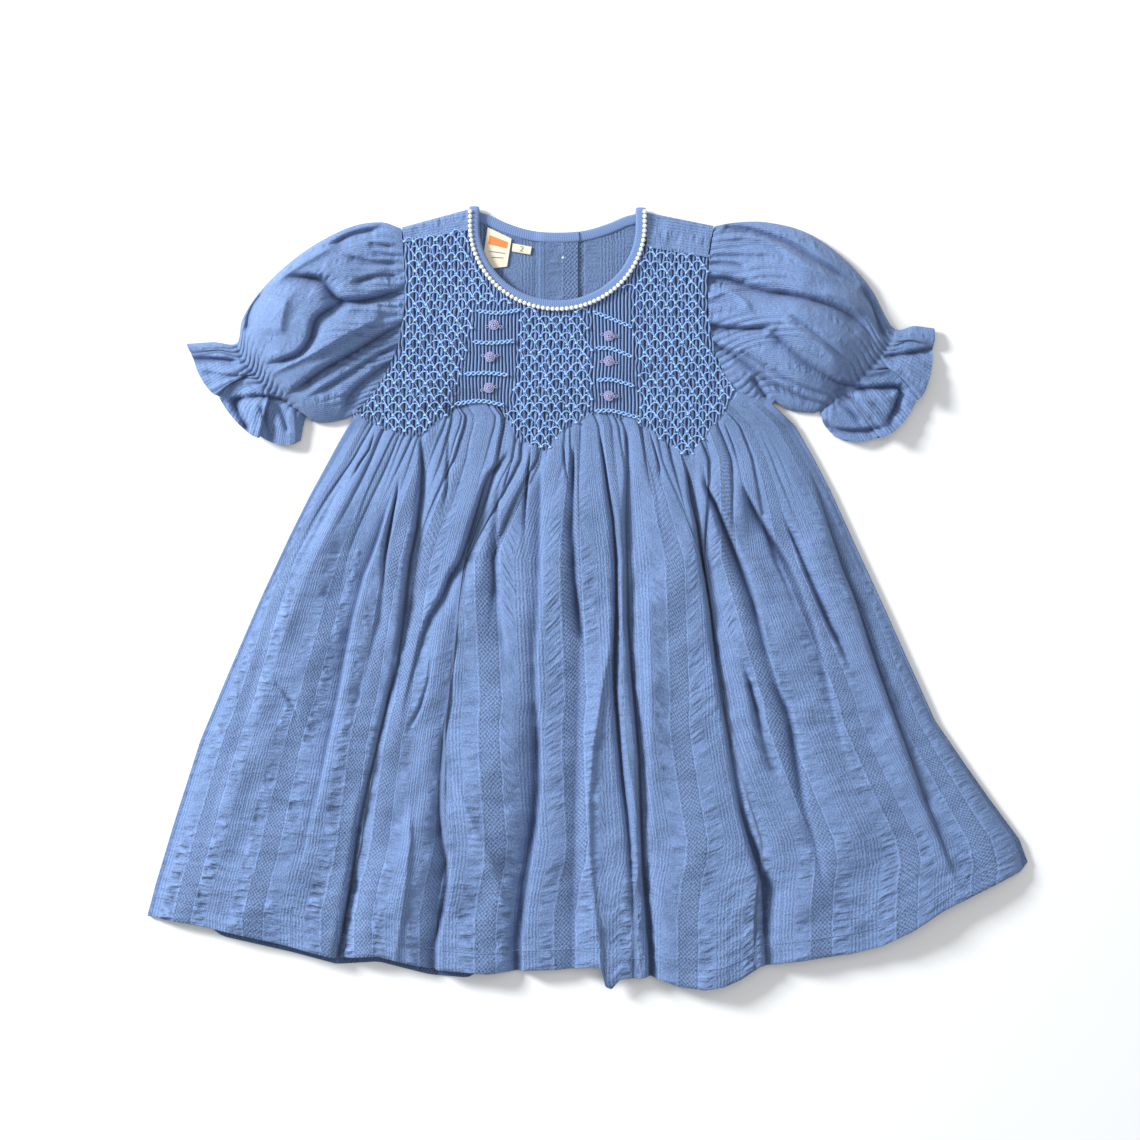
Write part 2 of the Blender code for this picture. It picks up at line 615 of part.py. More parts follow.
# The binding: one strip round the neck, from edge to edge of the opening at the centre back.
def makeBinding(group, material):
    up, backHalf, frontHalf, foldHalf = Vector((0, 0, 1)), 1.3, 1.7, 1.3
    backLevel, frontMiddle = 1.4, 4.9
    radius, turn = (frontMiddle - backLevel) / 2, 6
    back = [(p.x, p.y) for p in throughPoints(neckBack, 2)]
    stations = []

    def backStation(x, y):
        lapped = 1.0 * smooth(placketHidden - 4, placketHidden, x) * (x < placketEdge)
        stations.append((Vector((x, y, backLevel + lapped)), -up, backHalf))

    def foldStations(x, y, steps):
        for i in steps:
            a = math.pi * i / turn
            normal = Vector((0, math.sin(a), -math.cos(a)))
            place = Vector((x, y, (backLevel + frontMiddle) / 2)) + radius * normal
            stations.append((place, normal, foldHalf))

    ends = (placketEdge - 0.3, placketEdge + 0.3)
    backStation(ends[0], table(back, ends[0]))
    for x, y in back[::-1]:
        if x < ends[0] - 1:
            backStation(x, y)
    foldStations(back[0][0], neckPeaks[0], range(turn + 1))
    front = [(back[0][0], 234.5)] + neckFrontLine(32, 0) + [(back[-1][0], 234.5)]
    for x, y in front:
        stations.append((Vector((x, y, frontMiddle)), up, frontHalf))
    foldStations(back[-1][0], neckPeaks[1], range(turn, -1, -1))
    for x, y in back[::-1]:
        if x > ends[1] + 1:
            backStation(x, y)
    backStation(ends[1], table(back, ends[1]))

    rings = []
    for i, (place, normal, half) in enumerate(stations):
        ahead = stations[min(i + 1, len(stations) - 1)][0] - stations[max(i - 1, 0)][0]
        across = ahead.cross(normal).normalized()
        wide = bindingHalfWidth
        corners = ((-1, -0.5), (-0.8, -1), (0.8, -1), (1, -0.5), (1, 0.5), (0.8, 1), (-0.8, 1),
                   (-1, 0.5))
        rings.append([place + across * wide * a + normal * half * b for a, b in corners])
    loft("neck_binding", rings, group, material)


def makeLabels(group, material):
    low = backCloth + gap
    plate("label", labelCorners, low, low + labelCloth, group, material)
    plate("size_tab", tabCorners, low, low + labelCloth, group, material)


def main():
    clearScene()
    dress = newCollection("smocked_dress")
    cutters = newCollection("cutters")
    blue = newMaterial("blue_cotton", (0.13, 0.22, 0.46), 0.85)
    inside = newMaterial("blue_cotton_inside", (0.17, 0.25, 0.45), 0.88)
    cream = newMaterial("cream_tape", (0.80, 0.76, 0.66), 0.7)
    pearl = newMaterial("white_button", (0.85, 0.85, 0.82), 0.35)
    makeFront(dress, cutters, blue)
    makeBackBodice(dress, cutters, inside)
    makeBackSkirt(dress, inside)
    makeButtons(dress, pearl)
    makeSleeve("sleeve_left", armholeLeft, sleeveLeft, sleeveCreasesLeft, dress, blue)
    makeSleeve("sleeve_right", armholeRight, sleeveRight, sleeveCreasesRight, dress, blue)
    makeBinding(dress, blue)
    makeLabels(dress, cream)


main()
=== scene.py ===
# Looks of a small child's smocked dress, laid flat on its back and seen from straight above.
# X runs across the dress, Y up to the neck, Z up from the surface. Tables are in millimetres.
# Creases are traced in the photograph's own pixels, and fromPhoto turns them into millimetres.

import json
import math

import bpy
import numpy as np
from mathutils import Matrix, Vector

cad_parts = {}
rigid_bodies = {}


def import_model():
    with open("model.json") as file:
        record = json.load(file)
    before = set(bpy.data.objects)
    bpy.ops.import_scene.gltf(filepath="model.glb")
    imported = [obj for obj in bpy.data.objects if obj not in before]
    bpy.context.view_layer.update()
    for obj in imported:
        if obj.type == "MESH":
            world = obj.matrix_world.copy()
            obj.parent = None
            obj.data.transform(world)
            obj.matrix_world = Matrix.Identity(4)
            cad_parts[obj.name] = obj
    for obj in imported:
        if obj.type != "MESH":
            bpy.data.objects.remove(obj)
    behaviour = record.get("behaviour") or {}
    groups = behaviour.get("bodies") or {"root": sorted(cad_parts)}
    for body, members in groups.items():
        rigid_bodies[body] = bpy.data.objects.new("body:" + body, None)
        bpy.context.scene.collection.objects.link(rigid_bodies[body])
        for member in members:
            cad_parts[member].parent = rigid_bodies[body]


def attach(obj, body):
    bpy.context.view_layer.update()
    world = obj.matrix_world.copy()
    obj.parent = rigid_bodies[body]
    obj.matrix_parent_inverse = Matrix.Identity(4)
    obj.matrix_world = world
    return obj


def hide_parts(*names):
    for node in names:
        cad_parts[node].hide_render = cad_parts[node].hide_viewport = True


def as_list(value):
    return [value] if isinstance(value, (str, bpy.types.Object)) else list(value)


mm = 0.001
photoSize = 1140                   # pixels each way
photoScale = 0.62                  # millimetres to a pixel of the photograph
photoOrigin = (587.5, 596.5)       # the pixel over the origin

# Heights of the cloth above the surface.
backCloth = 1.4
lapCloth = 2.9                     # the left back half, where it laps over the right one
smockPoint = 6.3                   # the front, where the smocking ends
finer = 1.25                       # how much closer the cloth's pattern is on the sleeves

armholeLeft = ((-115.6, 228.5), (-112, 190), (-108, 150), (-143.5, 114))
armholeRight = ((79, 230), (70, 190), (72, 120), (113.5, 120.5))
neckFront = dict(centre=(-18.6, 230), radii=(51.7, 49.5))
neckBack = ((-70.3, 238.5), (-68.3, 236), (-62, 234), (-52, 229.4), (-40, 225.4), (-27, 223.2),
            (-10, 223.2), (2, 225), (14, 228.8), (24, 233), (31, 235), (33.1, 237.5))
placketEdge = -6.0                 # the left back half's free edge, and the right one's under it
placketHidden = -28.5

# The end of the smocking as x and y, the side edges as y and x, and the hem as x and y.
smockEdge = ((-160, 114), (-143, 114), (-113, 98), (-101, 100), (-80, 119), (-54, 119), (-44, 97),
             (-26, 88), (-15, 103), (6, 114), (28, 111), (46, 97), (63, 85), (72, 98), (84, 112),
             (91, 129), (96, 126), (104, 122.5), (114, 120.5), (140, 119))
sideLeft = ((240, -150), (122, -150), (112, -144.5), (97, -153.5), (63, -172), (38, -184.5),
            (-2, -203), (-46, -222), (-89, -240), (-139, -256), (-179, -268), (-198, -273))
sideRight = ((240, 118.8), (124, 118.8), (119.5, 114), (106, 128.7), (88, 139), (66, 150.5), (32, 166),
             (-8, 184.5), (-36, 197), (-77, 215.5), (-104, 234), (-126, 249.5), (-151, 268),
             (-165, 273))
hem = ((-273, -198), (-237, -204), (-184, -216), (-156, -223.5), (-130, -222), (-98, -230),
       (-62, -233), (-37, -231), (-17, -230.5), (8, -228.5), (11, -241), (15, -242.7), (20, -236.5),
       (39, -234.7), (57, -241), (73, -242.7), (84, -241), (95, -236.5), (107, -228.5),
       (163, -220.5), (181, -216), (200, -207), (219, -194.5), (246, -181), (269, -170), (273, -165))

paint = dict(
    cotton=(0.154, 0.240, 0.450),
    shade=(0.024, 0.046, 0.125),
    inside=(0.118, 0.182, 0.330),
    thread=(0.300, 0.530, 0.950),
    seam=(0.210, 0.330, 0.600),
    rose=(0.350, 0.350, 0.590),
    cream=(0.800, 0.720, 0.560),
    orange=(0.800, 0.230, 0.060),
    ink=(0.180, 0.140, 0.120),
    pearl=(0.880, 0.870, 0.780),
    button=(0.800, 0.800, 0.760),
)


def fromPhoto(px, py):
    return (px - photoOrigin[0]) * photoScale, (photoOrigin[1] - py) * photoScale


def traced(pixels):
    return [fromPhoto(*pixel) for pixel in pixels]


# A value read between the rows of a table, at a place in its first column.
def table(rows, at):
    rows = sorted(rows)
    return np.interp(at, [row[0] for row in rows], [row[1] for row in rows])


def smooth(low, high, value):
    t = np.clip((value - low) / (high - low), 0, 1)
    return t * t * (3 - 2 * t)


def bezier(points, t):
    s = 1 - t
    weights = (s**3, 3 * s * s * t, 3 * s * t * t, t**3)
    return sum(point * weight[..., None] for point, weight in zip(points, weights))


# Between b and c, on a curve that runs through all four.
def spline(a, b, c, d, t):
    return 0.5 * (2 * b + (c - a) * t + (2 * a - 5 * b + 4 * c - d) * t * t
                  + (3 * b - a - 3 * c + d) * t**3)


# Places 0 to 1 across and along a sheet.
def unitGrid(columns, rows):
    return np.meshgrid(np.linspace(0, 1, columns), np.linspace(0, 1, rows))


# The place in a four-cornered patch, s across and t up.
def inPatch(corners, s, t):
    a, b, c, d = (np.array(corner, float) for corner in corners)
    return a * (1 - s) * (1 - t) + b * s * (1 - t) + c * s * t + d * (1 - s) * t


# The running length at each point of a line.
def lengthAlong(line):
    return np.concatenate([[0], np.cumsum(np.linalg.norm(np.diff(line, axis=0), axis=1))])


# Gentle irregularity: a sum of waves with random directions, about 1 high.
def ripple(x, y, size, number, count=14):
    pick = np.random.default_rng(number)
    total = 0
    for _ in range(count):
        angle, phase = pick.uniform(0, 2 * math.pi, 2)
        length = size * pick.uniform(0.7, 1.5)
        across = x * math.cos(angle) + y * math.sin(angle)
        total = total + np.cos(2 * math.pi * across / length + phase)
    return total / math.sqrt(count / 2)


def blur(values, radius, axis):
    kernel = np.exp(-(np.arange(-2 * radius, 2 * radius + 1) / radius)**2)
    kernel /= kernel.sum()
    edges = [(2 * radius,) * 2 if i == axis else (0, 0) for i in (0, 1)]
    padded = np.pad(values, edges, mode="edge")
    return np.apply_along_axis(lambda line: np.convolve(line, kernel, mode="valid"), axis, padded)


# How deep each place lies below its surroundings, 0 to 1.
def hollows(z, radius, depth):
    around = blur(blur(z, radius, 1), radius, 0)
    return np.clip((around - z) / depth, 0, 1)


# How far points are from a line of points, how far along the line they lie, 0 to 1, and
# how much they are on the side that the light comes from, -1 to 1.
def nearLine(line, x, y):
    best = np.full(np.shape(x), 1e9)
    place = np.zeros(np.shape(x))
    lit = np.zeros(np.shape(x))
    length = 0.0
    for (ax, ay), (bx, by) in zip(line, line[1:]):
        dx, dy = bx - ax, by - ay
        run = math.hypot(dx, dy)
        t = np.clip(((x - ax) * dx + (y - ay) * dy) / run**2, 0, 1)
        offX, offY = x - ax - t * dx, y - ay - t * dy
        away = np.hypot(offX, offY)
        nearer = away < best
        place = np.where(nearer, length + t * run, place)
        lit = np.where(nearer, (0.8 * offY - 0.6 * offX) / (away + 0.4), lit)
        best = np.minimum(best, away)
        length += run
    return best, place / length, lit


def throughPoints(points, steps):
    p = [np.array(q, float) for q in points]
    p = [2 * p[0] - p[1]] + p + [2 * p[-1] - p[-2]]
    line = [spline(*p[i - 1:i + 3], k / steps) for i in range(1, len(p) - 2) for k in range(steps)]
    return np.array(line + [p[-2]])


def insidePolygon(corners, x, y):
    inside = np.zeros(np.shape(x), bool)
    for (ax, ay), (bx, by) in zip(corners, corners[1:] + corners[:1]):
        if ay != by:
            crossing = (ay > y) != (by > y)
            inside ^= crossing & (x < ax + (y - ay) * (bx - ax) / (by - ay))
    return inside


# A smooth mesh from points in millimetres.
def newMesh(name, points, faces, material):
    mesh = bpy.data.meshes.new(name)
    mesh.from_pydata((np.asarray(points) * mm).tolist(), [], faces)
    mesh.polygons.foreach_set("use_smooth", [True] * len(mesh.polygons))
    mesh.materials.append(material)
    mesh.update()
    item = bpy.data.objects.new(name, mesh)
    bpy.context.scene.collection.objects.link(item)
    return item


# The same with uv layers, in metres, and a colour attribute that holds the painted shade and the pucker of
# each point.
def makeMesh(name, points, faces, material, layers=(), shadeAndPucker=None):
    item = newMesh(name, points, np.asarray(faces).tolist(), material)
    mesh = item.data
    corner = np.empty(len(mesh.loops), int)
    mesh.loops.foreach_get("vertex_index", corner)
    for label, uv in layers:
        layer = mesh.uv_layers.new(name=label)
        layer.data.foreach_set("uv", np.asarray(uv, float)[corner].ravel())
    if shadeAndPucker is not None:
        layer = mesh.color_attributes.new(name="shadeAndPucker", type="FLOAT_COLOR", domain="POINT")
        values = np.ones((len(shadeAndPucker), 4))
        values[:, :shadeAndPucker.shape[1]] = shadeAndPucker
        layer.data.foreach_set("color", values.ravel())
    mesh.update()
    return item


# A grid of points (rows, columns, 3) as a mesh. keep marks the faces that stay.
def makeGrid(name, points, uv, material, shadeAndPucker=None, keep=None, second=None):
    rows, columns = points.shape[:2]
    index = np.arange(rows * columns).reshape(rows, columns)
    faces = np.stack([index[:-1, :-1], index[1:, :-1], index[1:, 1:], index[:-1, 1:]], -1)
    faces = faces.reshape(-1, 4)
    if keep is not None:
        faces = faces[keep.ravel()]
    used = np.unique(faces)
    renumber = np.zeros(rows * columns, int)
    renumber[used] = np.arange(len(used))
    layers = [("cloth", uv.reshape(-1, 2)[used])]
    if second is not None:
        layers.append(("pleats", second.reshape(-1, 2)[used]))
    if shadeAndPucker is None:
        shadeAndPucker = np.zeros((rows, columns, 2))
    return makeMesh(name, points.reshape(-1, 3)[used], renumber[faces], material, layers,
                    shadeAndPucker.reshape(-1, shadeAndPucker.shape[-1])[used])


# Many tubes in one mesh. Each is a list of points, with a radius.
def makeTubes(name, lines, material, sides=6):
    points, faces, uv = [], [], []
    start = 0
    for line, radius in lines:
        line = np.asarray(line, float)
        ahead = np.gradient(line, axis=0)
        ahead /= np.linalg.norm(ahead, axis=1)[:, None] + 1e-9
        side = np.cross(ahead, (0, 0, 1.0))
        side /= np.linalg.norm(side, axis=1)[:, None] + 1e-9
        up = np.cross(side, ahead)
        radii = np.broadcast_to(radius, len(line))[:, None]
        run = lengthAlong(line)
        count = len(line)
        i = np.arange(count - 1)
        for k in range(sides):
            a = 2 * math.pi * k / sides
            points.append(line + radii * (side * math.cos(a) + up * math.sin(a)))
            uv.append(np.stack([run * mm, np.full(count, k / sides)], -1))
            here, beside = start + k * count + i, start + (k + 1) % sides * count + i
            faces.append(np.stack([here, here + 1, beside + 1, beside], -1))
        start += sides * count
    return makeMesh(name, np.concatenate(points), np.concatenate(faces), material,
                    [("cloth", np.concatenate(uv))])


# Many small rounded lumps in one mesh: centre, three radii and a turn about Z.
def makeLumps(name, lumps, material, around=8, rings=4):
    a = 2 * math.pi * np.arange(around) / around
    levels = math.pi * (np.arange(1, rings) / rings - 0.5)
    unit = [np.array([[0, 0, -1.0]])]
    unit += [np.stack([np.cos(a) * math.cos(b), np.sin(a) * math.cos(b),
                       np.full(around, math.sin(b))], -1) for b in levels]
    unit = np.concatenate(unit + [np.array([[0, 0, 1.0]])])
    last = 1 + (rings - 2) * around
    pattern = []
    for k in range(around):
        j = (k + 1) % around
        pattern.append((0, 1 + j, 1 + k))
        for one in range(1, last, around):
            two = one + around
            pattern.append((one + k, one + j, two + j, two + k))
        pattern.append((last + k, last + j, len(unit) - 1))
    points, faces = [], []
    for number, (centre, radii, turn) in enumerate(lumps):
        c, s = math.cos(turn), math.sin(turn)
        x, y, z = (unit * np.array(radii)).T
        points.append(np.stack([x * c - y * s, x * s + y * c, z], -1) + np.array(centre))
        faces += [tuple(number * len(unit) + i for i in face) for face in pattern]
    return newMesh(name, np.concatenate(points), faces, material)


# Shader helpers: a maker of maths nodes, and one shared group for each effect.
def mathsIn(tree):
    def value(operation, *inputs, clamp=False):
        node = tree.nodes.new("ShaderNodeMath")
        node.operation = operation
        node.use_clamp = clamp
        for socket, given in zip(node.inputs, inputs):
            if isinstance(given, (int, float)):
                socket.default_value = given
            else:
                tree.links.new(given, socket)
        return node.outputs[0]
    return value


# A group with a vector input, other inputs that are numbers, and a Tone and a Height.
def newGroup(name, source, *numbers):
    tree = bpy.data.node_groups.new(name, "ShaderNodeTree")
    tree.interface.new_socket(source, in_out="INPUT", socket_type="NodeSocketVector")
    for label in numbers:
        tree.interface.new_socket(label, in_out="INPUT", socket_type="NodeSocketFloat")
    for label in ("Tone", "Height"):
        tree.interface.new_socket(label, in_out="OUTPUT", socket_type="NodeSocketFloat")
    start = tree.nodes.new("NodeGroupInput")
    end = tree.nodes.new("NodeGroupOutput")
    parts = tree.nodes.new("ShaderNodeSeparateXYZ")
    tree.links.new(start.outputs[0], parts.inputs[0])
    return tree, start.outputs, end.inputs, parts.outputs


# Noise about 0. Its size is a number, or two numbers for across and along.
def noiseIn(tree, vector, scale, detail=2.0):
    if isinstance(scale, tuple):
        stretch = tree.nodes.new("ShaderNodeVectorMath")
        stretch.operation = "MULTIPLY"
        stretch.inputs[1].default_value = (*scale, 1)
        tree.links.new(vector, stretch.inputs[0])
        vector, scale = stretch.outputs[0], 1.0
    node = tree.nodes.new("ShaderNodeTexNoise")
    node.inputs["Scale"].default_value = scale
    node.inputs["Detail"].default_value = detail
    tree.links.new(vector, node.inputs["Vector"])
    return mathsIn(tree)("SUBTRACT", node.outputs["Fac"], 0.5)


# The woven cloth: a zigzag band, plain cloth, fine cords and plain cloth, over and over.
# Places are millimetres from the middle of a band, and noises are repeats in a metre.
bandRepeat = 49.5
weaving = dict(
    band=(-1.6, 6.2),              # slope, and where it ends
    cords=(1.0, 16.3),             # slope, and where they begin
    edge=(1.4, 5.7),               # slope and place of a painted shadow line beside the band's edge
    dashes=(1.5, 6.9),             # slope and place of the dashed thread beside it
    plain=(11.6, 5.0),             # middle and half width
    meshApart=(2.6, 2.8),
    dashApart=3.4,
    cordApart=2.1,
    wobble=(60, 260),
    weave=900,
    pucker=(75, 250),
    puckerPatches=22,
    wrinkle=(60, 150),
    wrinklePatches=16,
)
# How strongly each part shows: in brightness about 1, and in height in millimetres.
# The brightness of the wrinkles and puckers is painted shading: lighter on their crests, darker in their
# hollows.
clothParts = dict(mesh=(0.36, 0.20), band=(-0.07, 0), edge=(-0.22, 0), cords=(0.19, 0.09),
                  dashes=(0.46, 0.20), weave=(1.1, 0.6), wrinkles=(0.50, 4.0), puckers=(1.5, 6.0))


def clothGroup():
    tree, given, result, (u, v, _) = newGroup("striped_cotton", "Cloth", "Crinkle", "Bands")
    value = mathsIn(tree)
    cloth, bands, crinkle = given["Cloth"], given["Bands"], given["Crinkle"]

    def product(first, *others):
        for other in others:
            first = value("MULTIPLY", first, other)
        return first

    def ramp(amount, slope, zero):
        return value("MULTIPLY_ADD", amount, slope, -slope * zero, clamp=True)

    def stripe(slope, place):
        beside = value("ABSOLUTE", value("MULTIPLY_ADD", away, slope, -slope * place))
        return value("SUBTRACT", 1.0, beside, clamp=True)

    def ripples(name, detail):
        return noiseIn(tree, cloth, weaving[name], detail)

    def patches(name, zero):
        return ramp(noiseIn(tree, cloth, weaving[name]), 5.0, zero - 0.5)

    def threadsAcross(direction, apart):
        turns = product(direction, 2 * math.pi / (apart * mm))
        return value("SINE", value("MULTIPLY_ADD", weave, 4.0, turns))

    u = value("MULTIPLY_ADD", ripples("wobble", 2.0), 0.0020, u)
    away = product(value("PINGPONG", value("DIVIDE", u, bandRepeat * mm), 0.5), bandRepeat)
    band = product(ramp(away, *weaving["band"]), bands)
    corded = value("MAXIMUM", ramp(away, *weaving["cords"]), value("SUBTRACT", 0.8, bands))
    middle, half = weaving["plain"]
    plain = ramp(value("ABSOLUTE", value("SUBTRACT", away, middle)), -0.4, half)
    weave = ripples("weave", 2.0)
    acrossApart, alongApart = weaving["meshApart"]
    dash = value("SINE", product(v, 2 * math.pi / (weaving["dashApart"] * mm)))
    parts = dict(
        mesh=product(threadsAcross(u, acrossApart), threadsAcross(v, alongApart), band),
        band=band,
        # A painted shadow line beside each edge of the band.
        edge=product(stripe(*weaving["edge"]), bands),
        cords=product(value("COSINE", product(away, 2 * math.pi / weaving["cordApart"])), corded),
        dashes=product(stripe(*weaving["dashes"]), bands, value("MULTIPLY_ADD", dash, 0.35, 0.65)),
        weave=weave,
        # Painted shading: the wrinkles and puckers are lighter on their crests and darker in their
        # hollows.
        wrinkles=product(ripples("wrinkle", 3.0), patches("wrinklePatches", 0.38), crinkle,
                         value("MULTIPLY_ADD", band, -0.6, 1.0)),
        puckers=product(ripples("pucker", 1.5), value("MULTIPLY_ADD", plain, 0.8, 0.2),
                        patches("puckerPatches", 0.34), crinkle),
    )
    for socket, column, total in (("Tone", 0, 1.0), ("Height", 1, 0.0)):
        for name, part in parts.items():
            if clothParts[name][column]:
                total = value("MULTIPLY_ADD", part, clothParts[name][column], total)
        tree.links.new(total, result[socket])
    return tree


# Gathered pleats of the smocking: painted shade in the valleys and a painted lighter tone on the fine
# ridges, with a bump.
def pleatGroup():
    tree, _, result, parts = newGroup("smocking_pleats", "Pleats")
    value = mathsIn(tree)
    wave = value("COSINE", value("MULTIPLY", parts[0], 2 * math.pi))
    valley = value("POWER", value("MULTIPLY_ADD", wave, -0.5, 0.5), 2.0)
    tree.links.new(value("MULTIPLY_ADD", valley, -1.12, 1.2), result["Tone"])
    tree.links.new(value("MULTIPLY", wave, 0.3), result["Height"])
    return tree


# The spun and stranded look of thread, along a tube.
def threadGroup():
    tree, _, result, parts = newGroup("stranded_thread", "Cloth")
    value = mathsIn(tree)
    strandLength = 1.4 * mm
    turn = value("MULTIPLY_ADD", parts[0], 2 * math.pi / strandLength,
                 value("MULTIPLY", parts[1], 4 * math.pi))
    wave = value("SINE", turn)
    tree.links.new(value("MULTIPLY_ADD", wave, 0.10, 0.97), result["Tone"])
    tree.links.new(value("MULTIPLY", wave, 0.10), result["Height"])
    return tree


# source names the uv layer that the group reads. shaded mixes painted shade into the colour by the
# attribute's first channel, and puckered takes the crinkle from the second.
def makeMaterial(name, colour, roughness, group=None, source="cloth", crinkle=0.5, bands=1.0,
                 sheen=0.0, shaded=False, bump=1.0, puckered=False):
    material = bpy.data.materials.new(name)
    material.use_nodes = True
    tree = material.node_tree
    shader = tree.nodes["Principled BSDF"]
    shader.inputs["Roughness"].default_value = roughness
    shader.inputs["Sheen Weight"].default_value = sheen
    shader.inputs["Sheen Roughness"].default_value = 0.5
    shader.inputs["Base Color"].default_value = (*colour, 1)
    if group is None:
        return material
    shadeAndPucker = tree.nodes.new("ShaderNodeVertexColor")
    shadeAndPucker.layer_name = "shadeAndPucker"
    channels = tree.nodes.new("ShaderNodeSeparateColor")
    tree.links.new(shadeAndPucker.outputs[0], channels.inputs[0])
    layer = tree.nodes.new("ShaderNodeUVMap")
    layer.uv_map = source
    node = tree.nodes.new("ShaderNodeGroup")
    node.node_tree = group
    tree.links.new(layer.outputs[0], node.inputs[0])
    if "Crinkle" in node.inputs:
        node.inputs["Bands"].default_value = bands
        node.inputs["Crinkle"].default_value = crinkle
        if puckered:
            tree.links.new(channels.outputs[1], node.inputs["Crinkle"])
    scaled = tree.nodes.new("ShaderNodeVectorMath")
    scaled.operation = "SCALE"
    scaled.inputs[0].default_value = colour
    tree.links.new(node.outputs["Tone"], scaled.inputs["Scale"])
    result = scaled.outputs[0]
    # Painted shade: the colour is mixed toward the shade paint by the attribute's first channel.
    if shaded:
        mix = tree.nodes.new("ShaderNodeMix")
        mix.data_type = "RGBA"
        mix.inputs["B"].default_value = (*paint["shade"], 1)
        tree.links.new(result, mix.inputs["A"])
        tree.links.new(channels.outputs[0], mix.inputs["Factor"])
        result = mix.outputs["Result"]
    tree.links.new(result, shader.inputs["Base Color"])
    bumps = tree.nodes.new("ShaderNodeBump")
    bumps.inputs["Distance"].default_value = 0.001
    bumps.inputs["Strength"].default_value = bump
    tree.links.new(node.outputs["Height"], bumps.inputs["Height"])
    tree.links.new(bumps.outputs[0], shader.inputs["Normal"])
    return material


def makeMaterials():
    cloth, pleats, strands = clothGroup(), pleatGroup(), threadGroup()
    return dict(
        cotton=makeMaterial("blue_cotton", paint["cotton"], 0.85, cloth, sheen=0.15, shaded=True,
                            puckered=True),
        sleeve=makeMaterial("sleeve_cotton", paint["cotton"], 0.85, cloth, crinkle=0.45, bands=0.1,
                            sheen=0.15, shaded=True),
        smocked=makeMaterial("smocked_cotton", paint["cotton"], 0.85, pleats, source="pleats",
                             sheen=0.15, shaded=True),
        inside=makeMaterial("blue_cotton_inside", paint["inside"], 0.9, cloth, crinkle=0.4,
                            shaded=True),
        binding=makeMaterial("binding_cotton", paint["cotton"], 0.8, strands, sheen=0.2, bump=0.6),
        thread=makeMaterial("smocking_thread", paint["thread"], 0.6, strands, sheen=0.3),
        seam=makeMaterial("seam_thread", paint["seam"], 0.6, strands, sheen=0.2),
        rose=makeMaterial("rose_thread", paint["rose"], 0.6, strands, sheen=0.3),
        cream=makeMaterial("cream_tape", paint["cream"], 0.7),
        orange=makeMaterial("orange_thread", paint["orange"], 0.7),
        ink=makeMaterial("brown_thread", paint["ink"], 0.7),
        pearl=makeMaterial("pearl", paint["pearl"], 0.18),
        button=makeMaterial("white_button", paint["button"], 0.3),
    )


# Where the woven bands run on the skirt. A band is a whole number; the numbers between are the
# cloth between two bands, and a jump is cloth hidden in a fold. Each level gives number and x.
bandLevels = (
    (119, ((-0.5, -150), (12.4, 118))),
    (85, ((-0.5, -160), (12.4, 140.5))),
    (22.6, ((-0.5, -191.3), (0, -185.7), (1, -149.1), (2, -121.2), (2.25, -110.2), (2.8, -108.6),
            (3, -100.8), (3.75, -76), (4.75, -74.2), (5, -64.2), (6, -9.6), (6.6, 17.6),
            (7.4, 26.5), (8, 54.9), (8.4, 71), (9.6, 73), (10, 88.4), (11, 124.3), (12, 162.8),
            (12.4, 170.7))),
    (-64.2, ((-0.5, -230), (0, -211.7), (1, -174.5), (2, -136.1), (2.3, -124.4), (2.8, -122.6),
             (3, -114.4), (3.75, -87.4), (4.5, -85.6), (5, -60.5), (6, -7.8), (6.5, 16.2),
             (7.45, 31), (8, 56.1), (8.6, 83), (9.4, 85), (10, 113.2), (11, 159.7), (12, 193.8),
             (12.4, 208))),
    (-175.8, ((-0.5, -266.9), (0, -245.2), (1, -201.8), (2, -153.5), (2.2, -147.2), (2.75, -145.4),
              (3, -133.6), (4.1, -90.6), (4.4, -89), (5, -59.2), (6, -10.9), (6.8, 29.2),
              (7.4, 36.8), (8, 64.2), (8.8, 104.5), (9.2, 106.8), (10, 146), (11, 198.7),
              (12, 243.4), (12.4, 273))),
)
firstCloth, lastCloth = -0.5, 12.4


# Where cloth number u runs at level y.
def bandX(u, y):
    u, y = np.broadcast_arrays(np.asarray(u, float), np.asarray(y, float))
    places = np.stack([table(rows, u) for level, rows in bandLevels])
    levels = np.array([level for level, rows in bandLevels], float)
    step = np.interp(-y, -levels, np.arange(len(levels)))
    low = np.clip(step.astype(int), 0, len(levels) - 2)[None]
    below, above = (np.take_along_axis(places, low + k, 0)[0] for k in (0, 1))
    x = below * (1 - step + low[0]) + above * (step - low[0])
    left, right = (np.interp(step, np.arange(len(levels)), [rows[end][1] for level, rows in bandLevels])
                   for end in (0, -1))
    trueLeft, trueRight = table(sideLeft, y), table(sideRight, y)
    return trueLeft + (x - left) / (right - left) * (trueRight - trueLeft)


